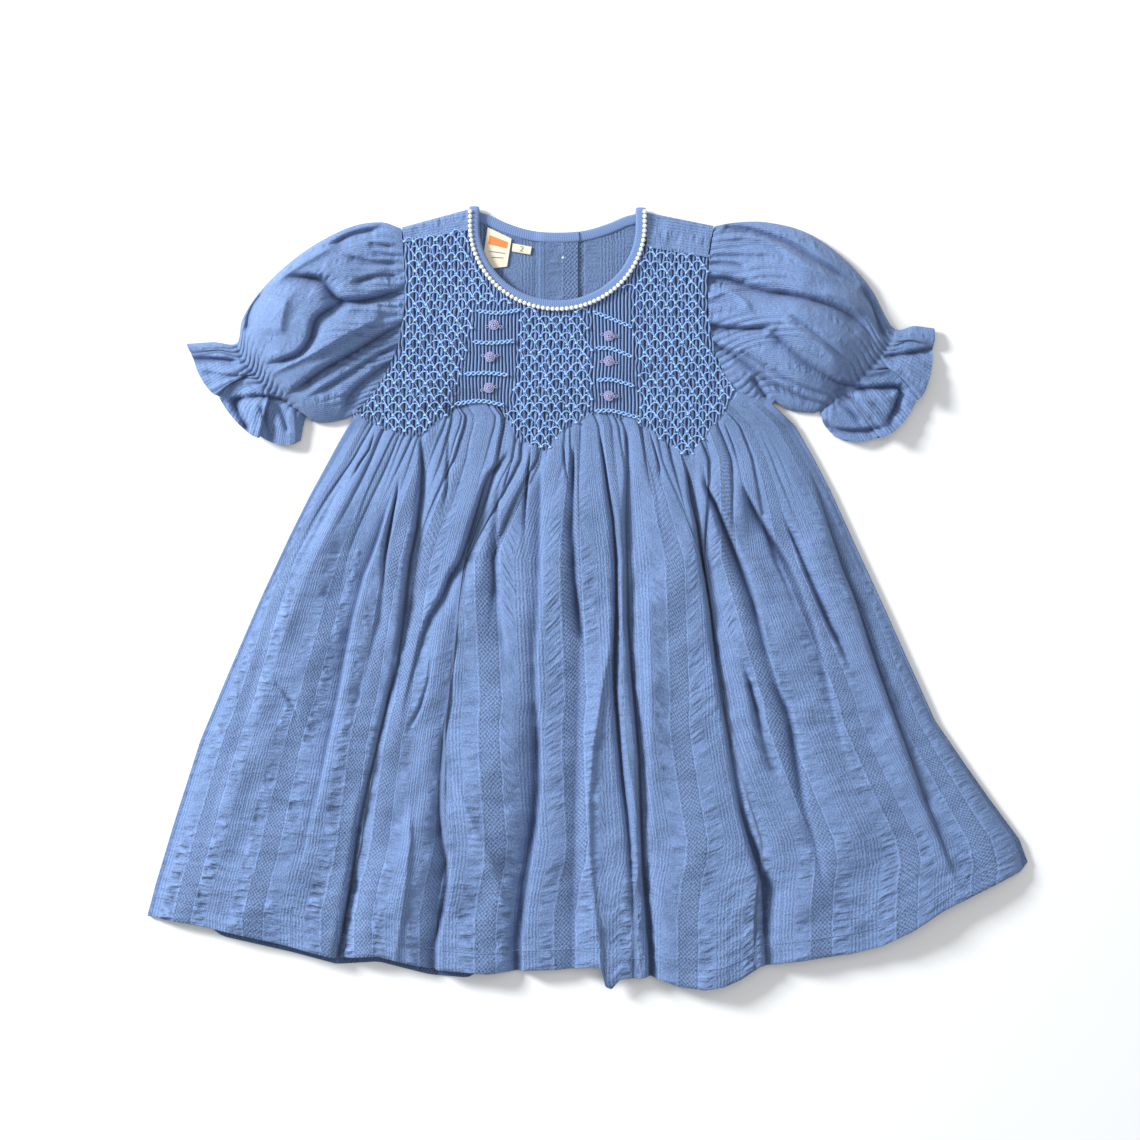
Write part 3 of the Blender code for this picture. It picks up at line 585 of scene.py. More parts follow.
# Valleys of the skirt: pixels they run through with the depth there in millimetres, then how
# far their left and right banks reach.
skirtFolds = (
    (((374, 434, 2), (369, 450, 4), (360, 463, 4), (351, 480, 1)), 2.0, 2.0),
    (((350, 470, 0), (335, 495, 2.5), (318, 527, 2.5), (292, 575, 1.5), (268, 630, 1.5),
      (247, 700, 1), (215, 800, 1), (190, 900, 0)), 8, 4),
    (((394, 492, 1), (386, 512, 4), (379, 535, 5.5), (371, 556, 6), (362, 577, 6), (356, 600, 5.5),
      (351, 620, 5.5), (343, 660, 5), (336, 700, 4.5), (328, 740, 4), (320, 780, 3),
      (308, 830, 1.6), (298, 880, 0.6)), 13, 2.4),
    (((400, 474, 1), (397, 495, 4.5), (393, 515, 5), (388, 540, 5), (385, 560, 3.5),
      (384, 580, 2), (383, 610, 0.5)), 2.4, 2.0),
    (((385, 570, 0.5), (380, 620, 2.2), (371, 650, 2), (357, 700, 1.2), (350, 740, 0.4)), 4, 4),
    (((420, 436, 2), (422, 470, 4.5), (420, 500, 5), (417, 528, 6), (411, 556, 6), (407, 590, 6),
      (402, 630, 6.3), (398, 662, 6), (388, 700, 5), (379, 740, 4), (369, 780, 4.5),
      (358, 830, 5.5), (350, 890, 6.6), (343, 930, 7), (338, 955, 7)), 3, 7),
    (((448, 438, 1), (447, 470, 2.4), (447, 490, 2.6), (443, 512, 1)), 2, 3),
    (((508, 452, 1), (497, 466, 4), (489, 474, 4.4), (484, 486, 5), (480, 500, 5.6),
      (474, 520, 6.3), (468, 540, 6.3), (461, 560, 6), (450, 577, 5.5), (443, 595, 5),
      (430, 616, 4.5), (422, 638, 4), (416, 662, 3), (408, 692, 2), (400, 730, 0.6)), 2.6, 10),
    (((436, 640, 0.8), (431, 660, 1.8), (428, 682, 2.4), (420, 708, 2.6), (411, 725, 1.6),
      (404, 742, 0.4)), 3, 3),
    (((466, 552, 1), (461, 575, 2.6), (457, 610, 2.2), (454, 645, 2.4), (448, 695, 3),
      (443, 735, 3.6), (440, 775, 4.4), (439, 810, 5), (441, 835, 5), (446, 862, 6),
      (446, 885, 6.8), (442, 912, 7), (434, 945, 7)), 8, 2.4),
    (((502, 470, 1), (498, 495, 2.6), (496, 525, 3), (495, 570, 2.8), (497, 605, 2.2),
      (502, 640, 1.6), (508, 675, 0.8)), 7, 3),
    (((531, 450, 1), (528, 470, 4), (526, 492, 4.4), (525, 512, 2.5), (524, 545, 1.4),
      (524, 590, 0.5)), 2.2, 2.2),
    (((540, 456, 1), (541, 480, 2), (539, 520, 3.4), (538, 560, 3.6), (537, 610, 3),
      (534, 660, 3), (535, 700, 4), (538, 740, 5), (538, 790, 6.3), (535, 825, 6.6),
      (529, 860, 6.8), (524, 895, 7), (519, 940, 7)), 8, 2.2),
    (((574, 448, 2), (574, 470, 4.6), (573, 500, 3.4), (572, 530, 4.4), (574, 552, 4.8),
      (575, 580, 5), (578, 606, 5.4), (581, 630, 4), (584, 660, 2)), 5, 2.2),
    (((579, 610, 0.5), (578, 680, 3), (576, 740, 3.6), (574, 800, 4.2), (573, 860, 3.6),
      (571, 960, 3)), 10, 7),
    (((600, 436, 1.5), (604, 460, 4), (608, 490, 5), (613, 520, 5.6), (616, 560, 6.2),
      (616.5, 610, 6.8), (615, 650, 7), (615, 690, 7), (618, 730, 6.6), (622, 775, 5.6),
      (627, 815, 4), (630, 850, 3), (634, 930, 1.5)), 3, 2.6),
    (((626, 430, 1.5), (627, 470, 3), (626, 520, 4), (627, 570, 4.4), (628, 620, 5),
      (631, 665, 6), (635, 710, 6.8), (639, 760, 7), (641, 820, 7), (643, 870, 7),
      (647, 920, 7), (650, 960, 7)), 2.4, 5),
    (((650, 432, 1), (655, 450, 3), (659, 465, 3), (660, 484, 0.6)), 2, 2),
    (((684, 456, 2), (688, 480, 5), (691, 500, 5.6), (697, 525, 6), (701, 552, 6), (706, 580, 6),
      (711, 612, 6), (716, 660, 5.6), (722, 700, 5), (729, 740, 4.4), (735, 778, 3.4),
      (741, 810, 5), (748, 835, 6), (756, 860, 7), (763, 885, 7), (764, 930, 5),
      (766, 960, 4)), 2.6, 8),
    (((703, 462, 1.5), (706, 486, 4), (716, 505, 5.8), (724, 525, 6.3), (734, 550, 6.3),
      (744, 575, 6), (753, 602, 5), (761, 632, 3.6), (769, 664, 3), (777, 688, 3.4),
      (787, 710, 5), (793, 735, 5.2), (797, 765, 4.4), (802, 800, 3), (813, 840, 2),
      (826, 895, 1)), 4.5, 2.6),
    (((741, 658, 1), (748, 680, 4), (755, 706, 4.4), (760, 730, 3.6), (768, 760, 2.2),
      (782, 790, 0.8)), 3.4, 4.4),
    (((737, 474, 1), (745, 490, 4.4), (754, 508, 5.6), (765, 527, 5.8), (776, 545, 5),
      (787, 564, 4.2), (799, 592, 3.8), (812, 626, 3.4), (823, 670, 2.6), (834, 720, 1.4),
      (850, 780, 0.5)), 9, 2.4),
    (((780, 508, 0.8), (789, 532, 2), (798, 553, 3), (807, 576, 3.6), (817, 600, 4),
      (829, 627, 4), (840, 648, 2.8), (850, 672, 0.8)), 1.8, 6),
    (((808, 462, 1), (819, 495, 3), (830, 530, 4.4), (842, 565, 5.4), (857, 602, 6),
      (869, 640, 6.4), (881, 676, 6.2), (893, 710, 5.6), (906, 746, 5), (925, 800, 3.6),
      (945, 850, 2.4), (962, 892, 1.4)), 3, 15),
    (((725, 424, 1.5), (733, 445, 2), (739, 464, 0.5)), 1.8, 2),
    (((563, 444, 1.5), (565, 465, 2.4), (570, 492, 1.5)), 1.8, 2),
    (((515, 452, 1), (508, 474, 2), (503, 492, 1)), 2, 2.4),
)

# Ridges of the skirt, in the same way, with heights for depths.
skirtRidges = (
    (((368, 455, 0.6), (335, 520, 1.4), (305, 580, 1.6), (284, 640, 1.8), (262, 700, 1.6),
      (235, 800, 1.2), (222, 850, 0.5)), 8, 7),
    (((610, 585, 0.5), (613, 620, 2), (611, 650, 2.6), (605, 675, 2.8), (600, 705, 2.8),
      (593, 750, 2.6), (589, 800, 2.4), (590, 855, 2.2), (594, 900, 2), (601, 955, 1.6)), 6, 2.2),
    (((446, 760, 0.3), (466, 806, 1.6), (478, 834, 2), (492, 862, 2), (500, 892, 1.2),
      (503, 925, 0.3)), 9, 4),
    (((411, 790, 0.5), (411, 840, 1.8), (407, 880, 2), (401, 925, 1.8), (397, 955, 1.4)), 6, 2.4),
    (((745, 580, 0.4), (762, 622, 1.2), (770, 660, 1.4), (780, 692, 1.4), (791, 722, 1.2),
      (799, 770, 0.6)), 3, 3),
    (((648, 560, 0.5), (650, 640, 1.2), (650, 760, 1.4), (652, 860, 1), (655, 930, 0.5)), 4, 5),
    (((356, 640, 0.5), (350, 680, 1), (342, 740, 1), (330, 800, 0.5)), 6, 5),
)

# Short pressed creases that cross the skirt: pixels from end to end, and height.
pressedCreases = (
    (((541, 564), (562, 565), (596, 563)), -0.5),
    (((322, 560), (340, 557), (358, 553)), 0.9),
    (((288, 595), (305, 592), (322, 590)), 0.7),
    (((322, 594), (334, 596)), -0.6),
    (((277, 684), (290, 700), (297, 716)), -1.0),
    (((280, 690), (288, 706)), 0.7),
    (((303, 748), (318, 756)), 0.8),
    (((338, 760), (348, 776)), 0.6),
    (((380, 655), (393, 672)), 0.8),
    (((310, 728), (332, 716)), -0.6),
    (((745, 722), (757, 738)), -0.8),
    (((640, 560), (662, 555)), 0.4),
    (((836, 900), (870, 905)), -0.5),
    (((700, 925), (716, 930)), 0.5),
)

folding = dict(
    crest=10.5,                    # how high the skirt stands between its folds
    lowest=3.2,
    rolledEdge=1.9,
    crispness=0.6,                 # the steep side of a fold, against the solids
    boost=0.22,                    # how much higher the folds stand than in the solids
    valley=1.4,                    # sharpness of a valley, a ridge and a core of painted shade
    ridge=1.2,
    shadeCore=1.8,
    shadeCoreBanks=(1.4, 2.2),
    creaseReach=1.1,
)


def foldShape(fold, x, y, power):
    trace, left, right = fold
    points = [(*fromPhoto(px, py), amount) for px, py, amount in trace]
    fx, fy, amounts = (np.array(v, float) for v in zip(*points))
    top, bottom = fy[0], fy[-1]
    line, amount = np.interp(-y, -fy, fx), np.interp(-y, -fy, amounts)
    # It fades in at its top and out at its bottom, unless it runs into the hem.
    reach = 0.3 * (top - bottom)
    start = min(24, reach) if top < 88 else 8
    amount = amount * smooth(top + 3, top + 3 - start, y)
    if bottom > -205:
        amount = amount * smooth(bottom - 3, bottom + min(20, reach), y)
    left, right = (bank * folding["crispness"] if bank <= 3 else bank for bank in (left, right))
    offset = x - line
    bank = np.where(offset < 0, left, right) * (0.4 + 0.6 * smooth(top, top - 60, y))
    return amount * np.exp(-(np.abs(offset) / bank)**power)


# Painted shade at the bottoms of the folds, 0 to 1.
def foldCoreShade(x, y):
    shadeCores = [foldShape((fold[0], *folding["shadeCoreBanks"]), x, y, folding["shadeCore"]) for fold in skirtFolds]
    return np.clip(np.max(shadeCores, axis=0) / 5, 0, 1)


def skirtHeight(x, y):
    crest = smockPoint + (folding["crest"] - smockPoint) * smooth(115, 50, y)
    depth = sum(foldShape(fold, x, y, folding["valley"])**4 for fold in skirtFolds)**0.25
    rise = sum(foldShape(ridge, x, y, folding["ridge"]) for ridge in skirtRidges)
    z = crest - depth + rise * smooth(7, 2, depth)
    for trace, height in pressedCreases:
        away = nearLine(traced(trace), x, y)[0]
        z += height * np.exp(-(away / folding["creaseReach"])**2)
    z += 0.35 * ripple(x, y, 60, 3) * smooth(110, 40, y)
    z += 0.16 * ripple(x * 0.6, y * 1.6, 14, 4) * smooth(90, -60, y)
    lowest, edge = folding["lowest"], folding["rolledEdge"]
    z = lowest + np.maximum(z - lowest, 0) * (1 + folding["boost"] * smooth(110, 50, y))
    # The side edges roll down to the back.
    roll = (1 - np.exp(-np.maximum(x - table(sideLeft, y), 0) / 13)) \
        * (1 - np.exp(-np.maximum(table(sideRight, y) - x, 0) / 9))
    roll += (1 - roll) * smooth(104, 116, y)
    return edge + (z - edge) * roll


gathering = dict(
    count=46,
    stray=0.22,                    # how unevenly they are spaced, in bands
    depth=(0.7, 3.6),
    ends=(92, 95),                 # the level where the shortest end, and how far others pass it
    leftBank=(0.012, 0.03),        # in bands
    rightBank=(0.04, 0.15),
)


# Small gathers just below the smocking, which follow the cloth as it fans out.
def gathers(u, y):
    pick = np.random.default_rng(11)
    depth = np.zeros(np.shape(u))
    highest, deeper = gathering["ends"]
    for start in np.linspace(firstCloth + 0.1, lastCloth - 0.1, gathering["count"]):
        stray = pick.uniform(-gathering["stray"], gathering["stray"])
        place = start + stray + 0.05 * np.sin(y / 17 + start * 9)
        deep, ends = pick.uniform(*gathering["depth"]), highest - deeper * pick.uniform(0, 1)**2
        wide = np.where(u < place, pick.uniform(*gathering["leftBank"]),
                        pick.uniform(*gathering["rightBank"]))
        shape = np.exp(-(np.abs(u - place) / wide)**1.1)
        depth = np.maximum(depth, deep * shape * smooth(ends - 45, ends + 25, y))
    return depth * smooth(12.3, 11.3, u + 0.02 * np.maximum(y - 70, 0))


# The plain cloth between the woven bands, which puckers.
def plainZone(u):
    away = bandRepeat * np.abs(u - np.round(u))
    return smooth(6.5, 9, away) * smooth(17, 14, away)


skirtCloth = dict(
    columns=560,
    rows=170,
    ruffle=(0.9, 0.35),            # height of the wide and the fine lengthwise waves
    pucker=0.28,
    # the most painted shade that any point of the skirt gets
    deepestShade=0.9,
    hemDepth=14,
    stitchApart=3.1,
    stitchLength=2.2,
    stitchThickness=0.24,
)


def makeSkirt(materials):
    columns = skirtCloth["columns"]
    u, down = np.meshgrid(np.linspace(firstCloth, lastCloth, columns),
                          np.linspace(0, 1, skirtCloth["rows"])**1.05)
    x = bandX(u, 0 * u)
    y = 100 - 300 * down
    for _ in range(30):
        top = table(smockEdge, x) + 2.0
        y += 0.3 * (top + down * (table(hem, x) - top) - y)
        x = bandX(u, y)
    z = skirtHeight(x, y) - gathers(u, y)
    loose = smooth(112, 30, y) * smooth(-0.5, 0.3, u) * smooth(12.4, 11.6, u)
    wide, fine = skirtCloth["ruffle"]
    z += loose * (wide * ripple(u * 12, y * 0.12, 15, 5) + fine * ripple(u * 12, y * 0.2, 6, 6))
    pucker = 0.5 + 0.35 * smooth(-110, -190, x) + 0.45 * smooth(-150, -200, y)
    pucker = pucker * (0.3 + 0.7 * smooth(90, 0, y))
    puckers = plainZone(u) * ripple(u * 18 + y * 0.3, y, 7, 31) * smooth(100, 80, y)
    z += skirtCloth["pucker"] * pucker * puckers
    z = np.maximum(z, folding["lowest"]) - 0.8 * smooth(0.02, 0, down)
    # Painted shade in the hollows and at the bottoms of the folds.
    paintedShade = np.maximum(hollows(z, 5, 2.8), 0.9 * foldCoreShade(x, y))
    paintedShade = np.clip(paintedShade, 0, skirtCloth["deepestShade"])
    points = np.stack([x, y, z], -1)
    # The hem is turned under, and the side edges run round to the back.
    turned = [points[-1] + step for step in ((0, -0.5, -0.5), (0, -0.5, -1.2), (0, 1, -1.6),
                                             (0, skirtCloth["hemDepth"], -1.6))]
    turned[3][:, 0] = bandX(u[-1], turned[3][:, 1])
    points = np.concatenate([points, np.stack(turned)])
    run = lengthAlong(points[:, columns // 2])
    u = np.concatenate([u, np.repeat(u[-1:], 4, 0)])
    uv = np.stack([u * bandRepeat, np.repeat(run[:, None], columns, 1)], -1) * mm
    shadeAndPucker = np.stack([paintedShade, pucker], -1)
    shadeAndPucker = np.concatenate([shadeAndPucker, np.repeat(shadeAndPucker[-1:], 4, 0)])
    left, right = ([points[:, edge] + (inwards * sign, 0, drop)
                    for inwards, drop in ((0.4, -0.7), (0, -1.3), (-6.0, -1.5))]
                   for edge, sign in ((0, -1), (-1, 1)))
    points = np.concatenate([np.stack(left[::-1], 1), points, np.stack(right, 1)], 1)
    points[..., 2] = np.maximum(points[..., 2], 0.3)
    uv, shadeAndPucker = (np.pad(grid, ((0, 0), (3, 3), (0, 0)), mode="edge") for grid in (uv, shadeAndPucker))
    skirt = makeGrid("front_skirt", points, uv, materials["cotton"], shadeAndPucker)
    return skirt, makeHemStitches(x, y, z, materials)


# The row of machine stitches that holds the hem.
def makeHemStitches(x, y, z, materials):
    level = y[-1] + skirtCloth["hemDepth"] - 2
    line = np.array([(np.interp(-at, -column, x[:, j]), at, np.interp(-at, -column, z[:, j]) + 0.2)
                     for j, (at, column) in enumerate(zip(level, y.T))])
    run = lengthAlong(line)
    stitches = []
    for start in np.arange(2, run[-1] - 4, skirtCloth["stitchApart"]):
        at = start + np.linspace(0, skirtCloth["stitchLength"], 4)
        stitches.append((np.stack([np.interp(at, run, line[:, k]) for k in range(3)], -1),
                         skirtCloth["stitchThickness"]))
    return makeTubes("hem_stitches", stitches, materials["seam"], sides=4)


# Honeycomb smocking: a cell's width, and the height from a row of stitches to the next.
cellWide = 6.5
rowHigh = 4.9
smocking = dict(
    columns=640,
    rows=118,
    pleatsPerCell=3,
    swing=0.45,                    # how far the stitches draw the pleats aside
    level=5.4,
    pleat=0.8,
    pinch=0.4,                     # how far the stitches pull the cloth down
    lift=0.55,                     # of the threads over the pleats
    stray=(0.8, 0.75),
    stitchRows=(16, 48),
    stitchColumns=(-24, 20),
)
armpitRight = (91, 131.7)           # the right end of the smocking

# The two plain panels, with their cable rows and roses, in pixels.
panelLeft = ((478, 309), (522, 309), (509, 407), (454, 407))
panelRight = ((593, 294), (630, 294), (640, 418), (592, 418))
cableRows = (
    ((478, 311), (498, 313), (520, 310)),
    ((474, 342), (492, 343), (514, 341)),
    ((466, 374), (487, 373), (508, 375)),
    ((456, 404), (480, 401), (504, 405)),
    ((594, 312), (612, 319), (632, 327)),
    ((597, 348), (612, 349), (633, 357)),
    ((598, 380), (613, 380), (634, 386)),
    ((596, 411), (613, 411), (640, 418)),
)
roses = ((494, 325), (490, 357), (489, 388), (609, 336), (609, 361), (609, 396))

# Both ends of the front seams of the shoulders and of the back's edge over them, x and y.
shoulderSeams = (((-115.2, 221.3), (-73.9, 228.8)), ((36.7, 218.3), (78.4, 212.0)))
shoulderBacks = (((-115.2, 227), (-73.9, 238)), ((36.7, 236), (78.4, 228)))


def shoulderY(x, ends=shoulderSeams):
    left, right = (table(end, x) for end in ends)
    return np.where(x < -20, left, right)


# Left and right edge of the smocked yoke at level y, from the armhole curves.
def yokeEdges(y):
    edges = []
    for curve, side in ((armholeLeft, sideLeft), (armholeRight, sideRight)):
        line = bezier([np.array(point) for point in curve], np.linspace(0, 1, 80))
        line = line[np.argsort(line[:, 1])]
        edges.append(np.where(y < line[0, 1], table(side, y), np.interp(y, line[:, 1], line[:, 0])))
    return edges


def insideNeck(x, y, beside):
    (cx, cy), (rx, ry) = neckFront["centre"], neckFront["radii"]
    return (((x - cx) / (rx + beside))**2 + ((y - cy) / (ry + beside))**2 < 1) \
        | ((np.abs(x - cx) < rx + beside) & (y > cy))


def inPanels(x, y):
    return insidePolygon(traced(panelLeft), x, y) | insidePolygon(traced(panelRight), x, y)


def honeycomb(x, y, wave):
    return wave(2 * math.pi * x / cellWide) * np.cos(math.pi * y / rowHigh)


# The pleats as a running number, drawn in towards the stitches.
def pleatNumber(x, y):
    swing = smocking["swing"] * honeycomb(x, y, np.sin) * np.where(inPanels(x, y), 0.15, 1)
    return (x + swing + 0.25 * ripple(x, y, 30, 21)) / cellWide * smocking["pleatsPerCell"]


def yokeHeight(x, y):
    z = smocking["level"] + smocking["pleat"] * np.cos(2 * math.pi * pleatNumber(x, y))
    z += np.where(inPanels(x, y), 0, smocking["pinch"] * honeycomb(x, y, np.cos))
    edge = table(smockEdge, x)
    return z + 0.3 * ripple(x, y, 45, 5) + 0.4 * smooth(edge + 6, edge, y)


def makeYoke(materials):
    across, up = unitGrid(smocking["columns"], smocking["rows"])
    y = 100 + 120 * up
    for _ in range(16):
        left, right = yokeEdges(y)
        right = np.where(y < armpitRight[1], np.minimum(right, armpitRight[0]), right)
        x = left + across * (right - left)
        low, high = table(smockEdge, x) - 1.6, shoulderY(x)
        y = (y + low + up * (high - low)) / 2
    z = yokeHeight(x, y)
    fade = smooth(0, 0.03, up)
    z = z * fade + (1 - fade) * 4.9
    # Painted shade in the hollows between the pleats, lighter in the plain panels.
    paintedShade = np.clip(0.04 + 0.9 * hollows(z, 4, 4.0), 0, 0.6) * np.where(inPanels(x, y), 0.35, 1)
    points = np.stack([x, y, z], -1)
    centre = (points[:-1, :-1] + points[1:, 1:]) / 2
    keep = ~insideNeck(centre[..., 0], centre[..., 1], 0)
    pleats = np.stack([pleatNumber(x, y), y / rowHigh], -1)
    return makeGrid("front_yoke", points, points[..., :2] * mm, materials["smocked"],
                    paintedShade[..., None], keep, pleats)


# Where smocking stitches can be: on the yoke, clear of its edges and of the plain panels.
def stitched(x, y):
    left, right = yokeEdges(np.asarray(y, float))
    return (x > left + 0.4) & (x < right - 0.4) & (y > table(smockEdge, x) - 0.5) \
        & (y < shoulderY(x) - 1) & ~insideNeck(x, y, 5) & ~inPanels(x, y)


def stitchPlace(column, row):
    pick = np.random.default_rng(abs(column * 131 + row * 7919) + 1)
    strayX, strayY = (pick.uniform(-stray, stray) for stray in smocking["stray"])
    return (column + 0.5 * (row % 2)) * cellWide + strayX, row * rowHigh + strayY


def threadLevel(x, y):
    return yokeHeight(np.array(x), np.array(y)) + smocking["lift"]


cable = dict(pitch=3.2, sway=0.95, level=6.9, twist=0.35, thickness=0.45, knot=(0.95, 0.6, 0.55))


def makeStitches(materials):
    lines, knots = [], []
    for row in range(*smocking["stitchRows"]):
        for column in range(*smocking["stitchColumns"]):
            x, y = stitchPlace(column, row)
            if not stitched(x, y):
                continue
            z = threadLevel(x, y)
            pick = np.random.default_rng(column * 17 + row * 313 + 9000)
            size = (pick.uniform(1.0, 1.5), pick.uniform(0.6, 0.85), 0.6)
            knots.append(((x, y, z + 0.25), size, pick.uniform(-0.5, 0.5)))
            # A low arch to the next knot in the row, and a thread down to the row below.
            for other, below, arch, thick in ((column + 1, 0, 0.55 * rowHigh, (0.32, 0.46)),
                                              (column + row % 2, 1, 0.5, (0.22, 0.36))):
                x2, y2 = stitchPlace(other, row - below)
                if not stitched(x2, y2):
                    continue
                t = np.linspace(0, 1, 9)
                bow = np.sin(math.pi * t)
                line = [x + (x2 - x) * t + pick.uniform(-0.3, 0.3) * bow,
                        y + (y2 - y) * t + arch * pick.uniform(0.7, 1.2) * bow**0.7,
                        z + (threadLevel(x2, y2) - z) * t + pick.uniform(-0.2, 0.5) * bow]
                lines.append((np.stack(line, -1), pick.uniform(*thick)))
    for trace in cableRows:
        path = throughPoints(traced(trace), 24)
        run = lengthAlong(path)
        turn = math.pi * run / cable["pitch"]
        for sign in (-1, 1):
            line = np.stack([path[:, 0], path[:, 1] + sign * cable["sway"] * np.sin(turn),
                             cable["level"] + sign * cable["twist"] * np.cos(turn)], -1)
            lines.append((line, cable["thickness"]))
        for at in np.arange(int(run[-1] / cable["pitch"]) + 1) * cable["pitch"]:
            x, y = np.interp(at, run, path[:, 0]), np.interp(at, run, path[:, 1])
            knots.append(((x, y, cable["level"] + 0.2), cable["knot"], 0))
    return [makeTubes("smocking_thread", lines, materials["thread"]),
            makeLumps("smocking_knots", knots, materials["thread"])]


rose = dict(
    rings=((0.75, 2), (1.65, 3), (2.55, 4)),   # radius, and how many rolls
    roll=0.5,                                  # thickness
    top=7.6,
    drop=0.35,                                 # from a ring to the next
    loopStart=3.2,
    loopReach=2.28,
    loopWide=0.75,
    loopThickness=0.26,
)


# Bullion roses: a small knot with two rings of curved rolls, and a leaf loop at each side.
def makeRoses(materials):
    lines = []
    for number, (cx, cy) in enumerate(traced(roses)):
        pick = np.random.default_rng(400 + number)
        for ring, (radius, count) in enumerate(rose["rings"]):
            turn = pick.uniform(0, 6.28)
            t = np.linspace(0, 1, 11)
            r = radius * (1 + 0.12 * np.sin(math.pi * t))
            taper = np.clip(4 * np.sin(math.pi * np.linspace(0.04, 0.96, 11)), 0.35, 1)
            for k in range(count):
                a = turn + 2 * math.pi * (1.2 * t - 0.08 + k) / count
                line = np.stack([cx + r * np.cos(a), cy + r * np.sin(a),
                                 0 * t + rose["top"] - rose["drop"] * ring], -1)
                lines.append((line, rose["roll"] * taper))
        for side in (-1, 1):
            a = pick.uniform(-0.6, 0.3)
            t = np.linspace(0, 2 * math.pi, 15)
            away = rose["loopStart"] + rose["loopReach"] * (1 - np.cos(t)) / 2
            wide = rose["loopWide"] * np.sin(t)
            x = cx + side * (away * math.cos(a) - wide * math.sin(a))
            y = cy + away * math.sin(a) + wide * math.cos(a)
            lines.append((np.stack([x, y, 0 * t + 7.0], -1), rose["loopThickness"]))
    return makeTubes("bullion_roses", lines, materials["rose"])


bindingPlan = dict(
    halfWidth=3.2,
    backLevel=1.4,
    frontLevel=5.4,
    backThick=1.3,                 # half thicknesses
    frontThick=1.7,
    lapRise=1.0,
    foldSteps=10,
    peaks=(239.2, 238.4),          # how high it folds over at its left and right
    frontTop=234.5,
    ends=(placketEdge + 0.7, placketEdge + 0.8),
)


# Centre line of the neck binding, as places with the direction that its face looks in.
def bindingStations():
    stations = []
    backLevel, frontLevel = bindingPlan["backLevel"], bindingPlan["frontLevel"]
    radius, steps = (frontLevel - backLevel) / 2, bindingPlan["foldSteps"]
    firstEnd, lastEnd = bindingPlan["ends"]
    back = throughPoints(neckBack, 6)
    leftX, rightX = back[0][0], back[-1][0]

    def backStation(x, y):
        lapped = bindingPlan["lapRise"] * smooth(placketHidden - 4, placketHidden, x) * (x <= firstEnd)
        stations.append(((x, y, backLevel + lapped), (0, 0, -1), bindingPlan["backThick"]))

    def foldStations(x, y, order):
        for i in order:
            a = math.pi * i / steps
            normal = np.array((0, math.sin(a), -math.cos(a)))
            place = np.array((x, y, (backLevel + frontLevel) / 2)) + radius * normal
            stations.append((tuple(place), tuple(normal), bindingPlan["backThick"]))

    backStation(firstEnd, table(back.tolist(), firstEnd))
    for x, y in back[::-1]:
        if x < firstEnd - 1:
            backStation(x, y)
    foldStations(leftX, bindingPlan["peaks"][0], range(steps + 1))
    (cx, cy), (rx, ry) = neckFront["centre"], neckFront["radii"]
    front = [(cx + rx * math.cos(a), cy + ry * math.sin(a)) for a in np.linspace(math.pi, 2 * math.pi, 90)]
    for x, y in [(leftX, bindingPlan["frontTop"])] + front + [(rightX, bindingPlan["frontTop"])]:
        stations.append(((x, y, frontLevel), (0, 0, 1), bindingPlan["frontThick"]))
    foldStations(rightX, bindingPlan["peaks"][1], range(steps, -1, -1))
    for x, y in back[::-1]:
        if x > lastEnd + 1:
            backStation(x, y)
    backStation(lastEnd, table(back.tolist(), lastEnd))
    return stations


def makeBinding(materials):
    places, normals, halves = (np.array(column, float) for column in zip(*bindingStations()))
    across = np.cross(np.gradient(places, axis=0), normals)
    across /= np.linalg.norm(across, axis=1)[:, None]
    a = np.linspace(0, 2 * math.pi, 25)
    wide = np.sign(np.cos(a)) * np.abs(np.cos(a))**0.6 * bindingPlan["halfWidth"]
    thick = np.sign(np.sin(a)) * np.abs(np.sin(a))**0.75
    points = places[:, None] + across[:, None] * wide[None, :, None] \
        + normals[:, None] * (halves[:, None] * thick)[..., None]
    uv = np.stack(np.meshgrid(np.linspace(0, 1, 25), lengthAlong(places) * mm)[::-1], -1)
    return makeGrid("bias_binding", points, uv, materials["binding"])


pearl = dict(count=63, size=(1.4, 1.4, 1.35), beside=2.4, level=7.4, top=239)


def makePearls(materials):
    (cx, cy), (rx, ry) = neckFront["centre"], neckFront["radii"]
    angles = np.linspace(math.pi, 2 * math.pi, 400)
    line = np.stack([cx + (rx + pearl["beside"]) * np.cos(angles),
                     cy + (ry + pearl["beside"]) * np.sin(angles)], -1)
    line = np.concatenate([[(line[0][0], pearl["top"])], line, [(line[-1][0], pearl["top"])]])
    run = lengthAlong(line)
    lumps = []
    for at in np.linspace(0.5, run[-1] - 0.5, pearl["count"]):
        x, y = np.interp(at, run, line[:, 0]), np.interp(at, run, line[:, 1])
        lumps.append(((x, y, pearl["level"]), pearl["size"], 0))
    return makeLumps("pearls", lumps, materials["pearl"], around=14, rings=8)


# Each strip's two ends: the place on the front seam, and the fold over the shoulder.
shoulderLeft = (((-113.9, 221.3), (-115.2, 229.3)), ((-73.9, 228.8), (-73.9, 240.6)))
shoulderRight = (((36.7, 218.3), (36.7, 238.6)), ((74.7, 212.0), (78.4, 230.2)))
strip = dict(columns=60, rows=40, foldRadius=2.7, behind=8, overlap=1.6, seamRise=0.9)


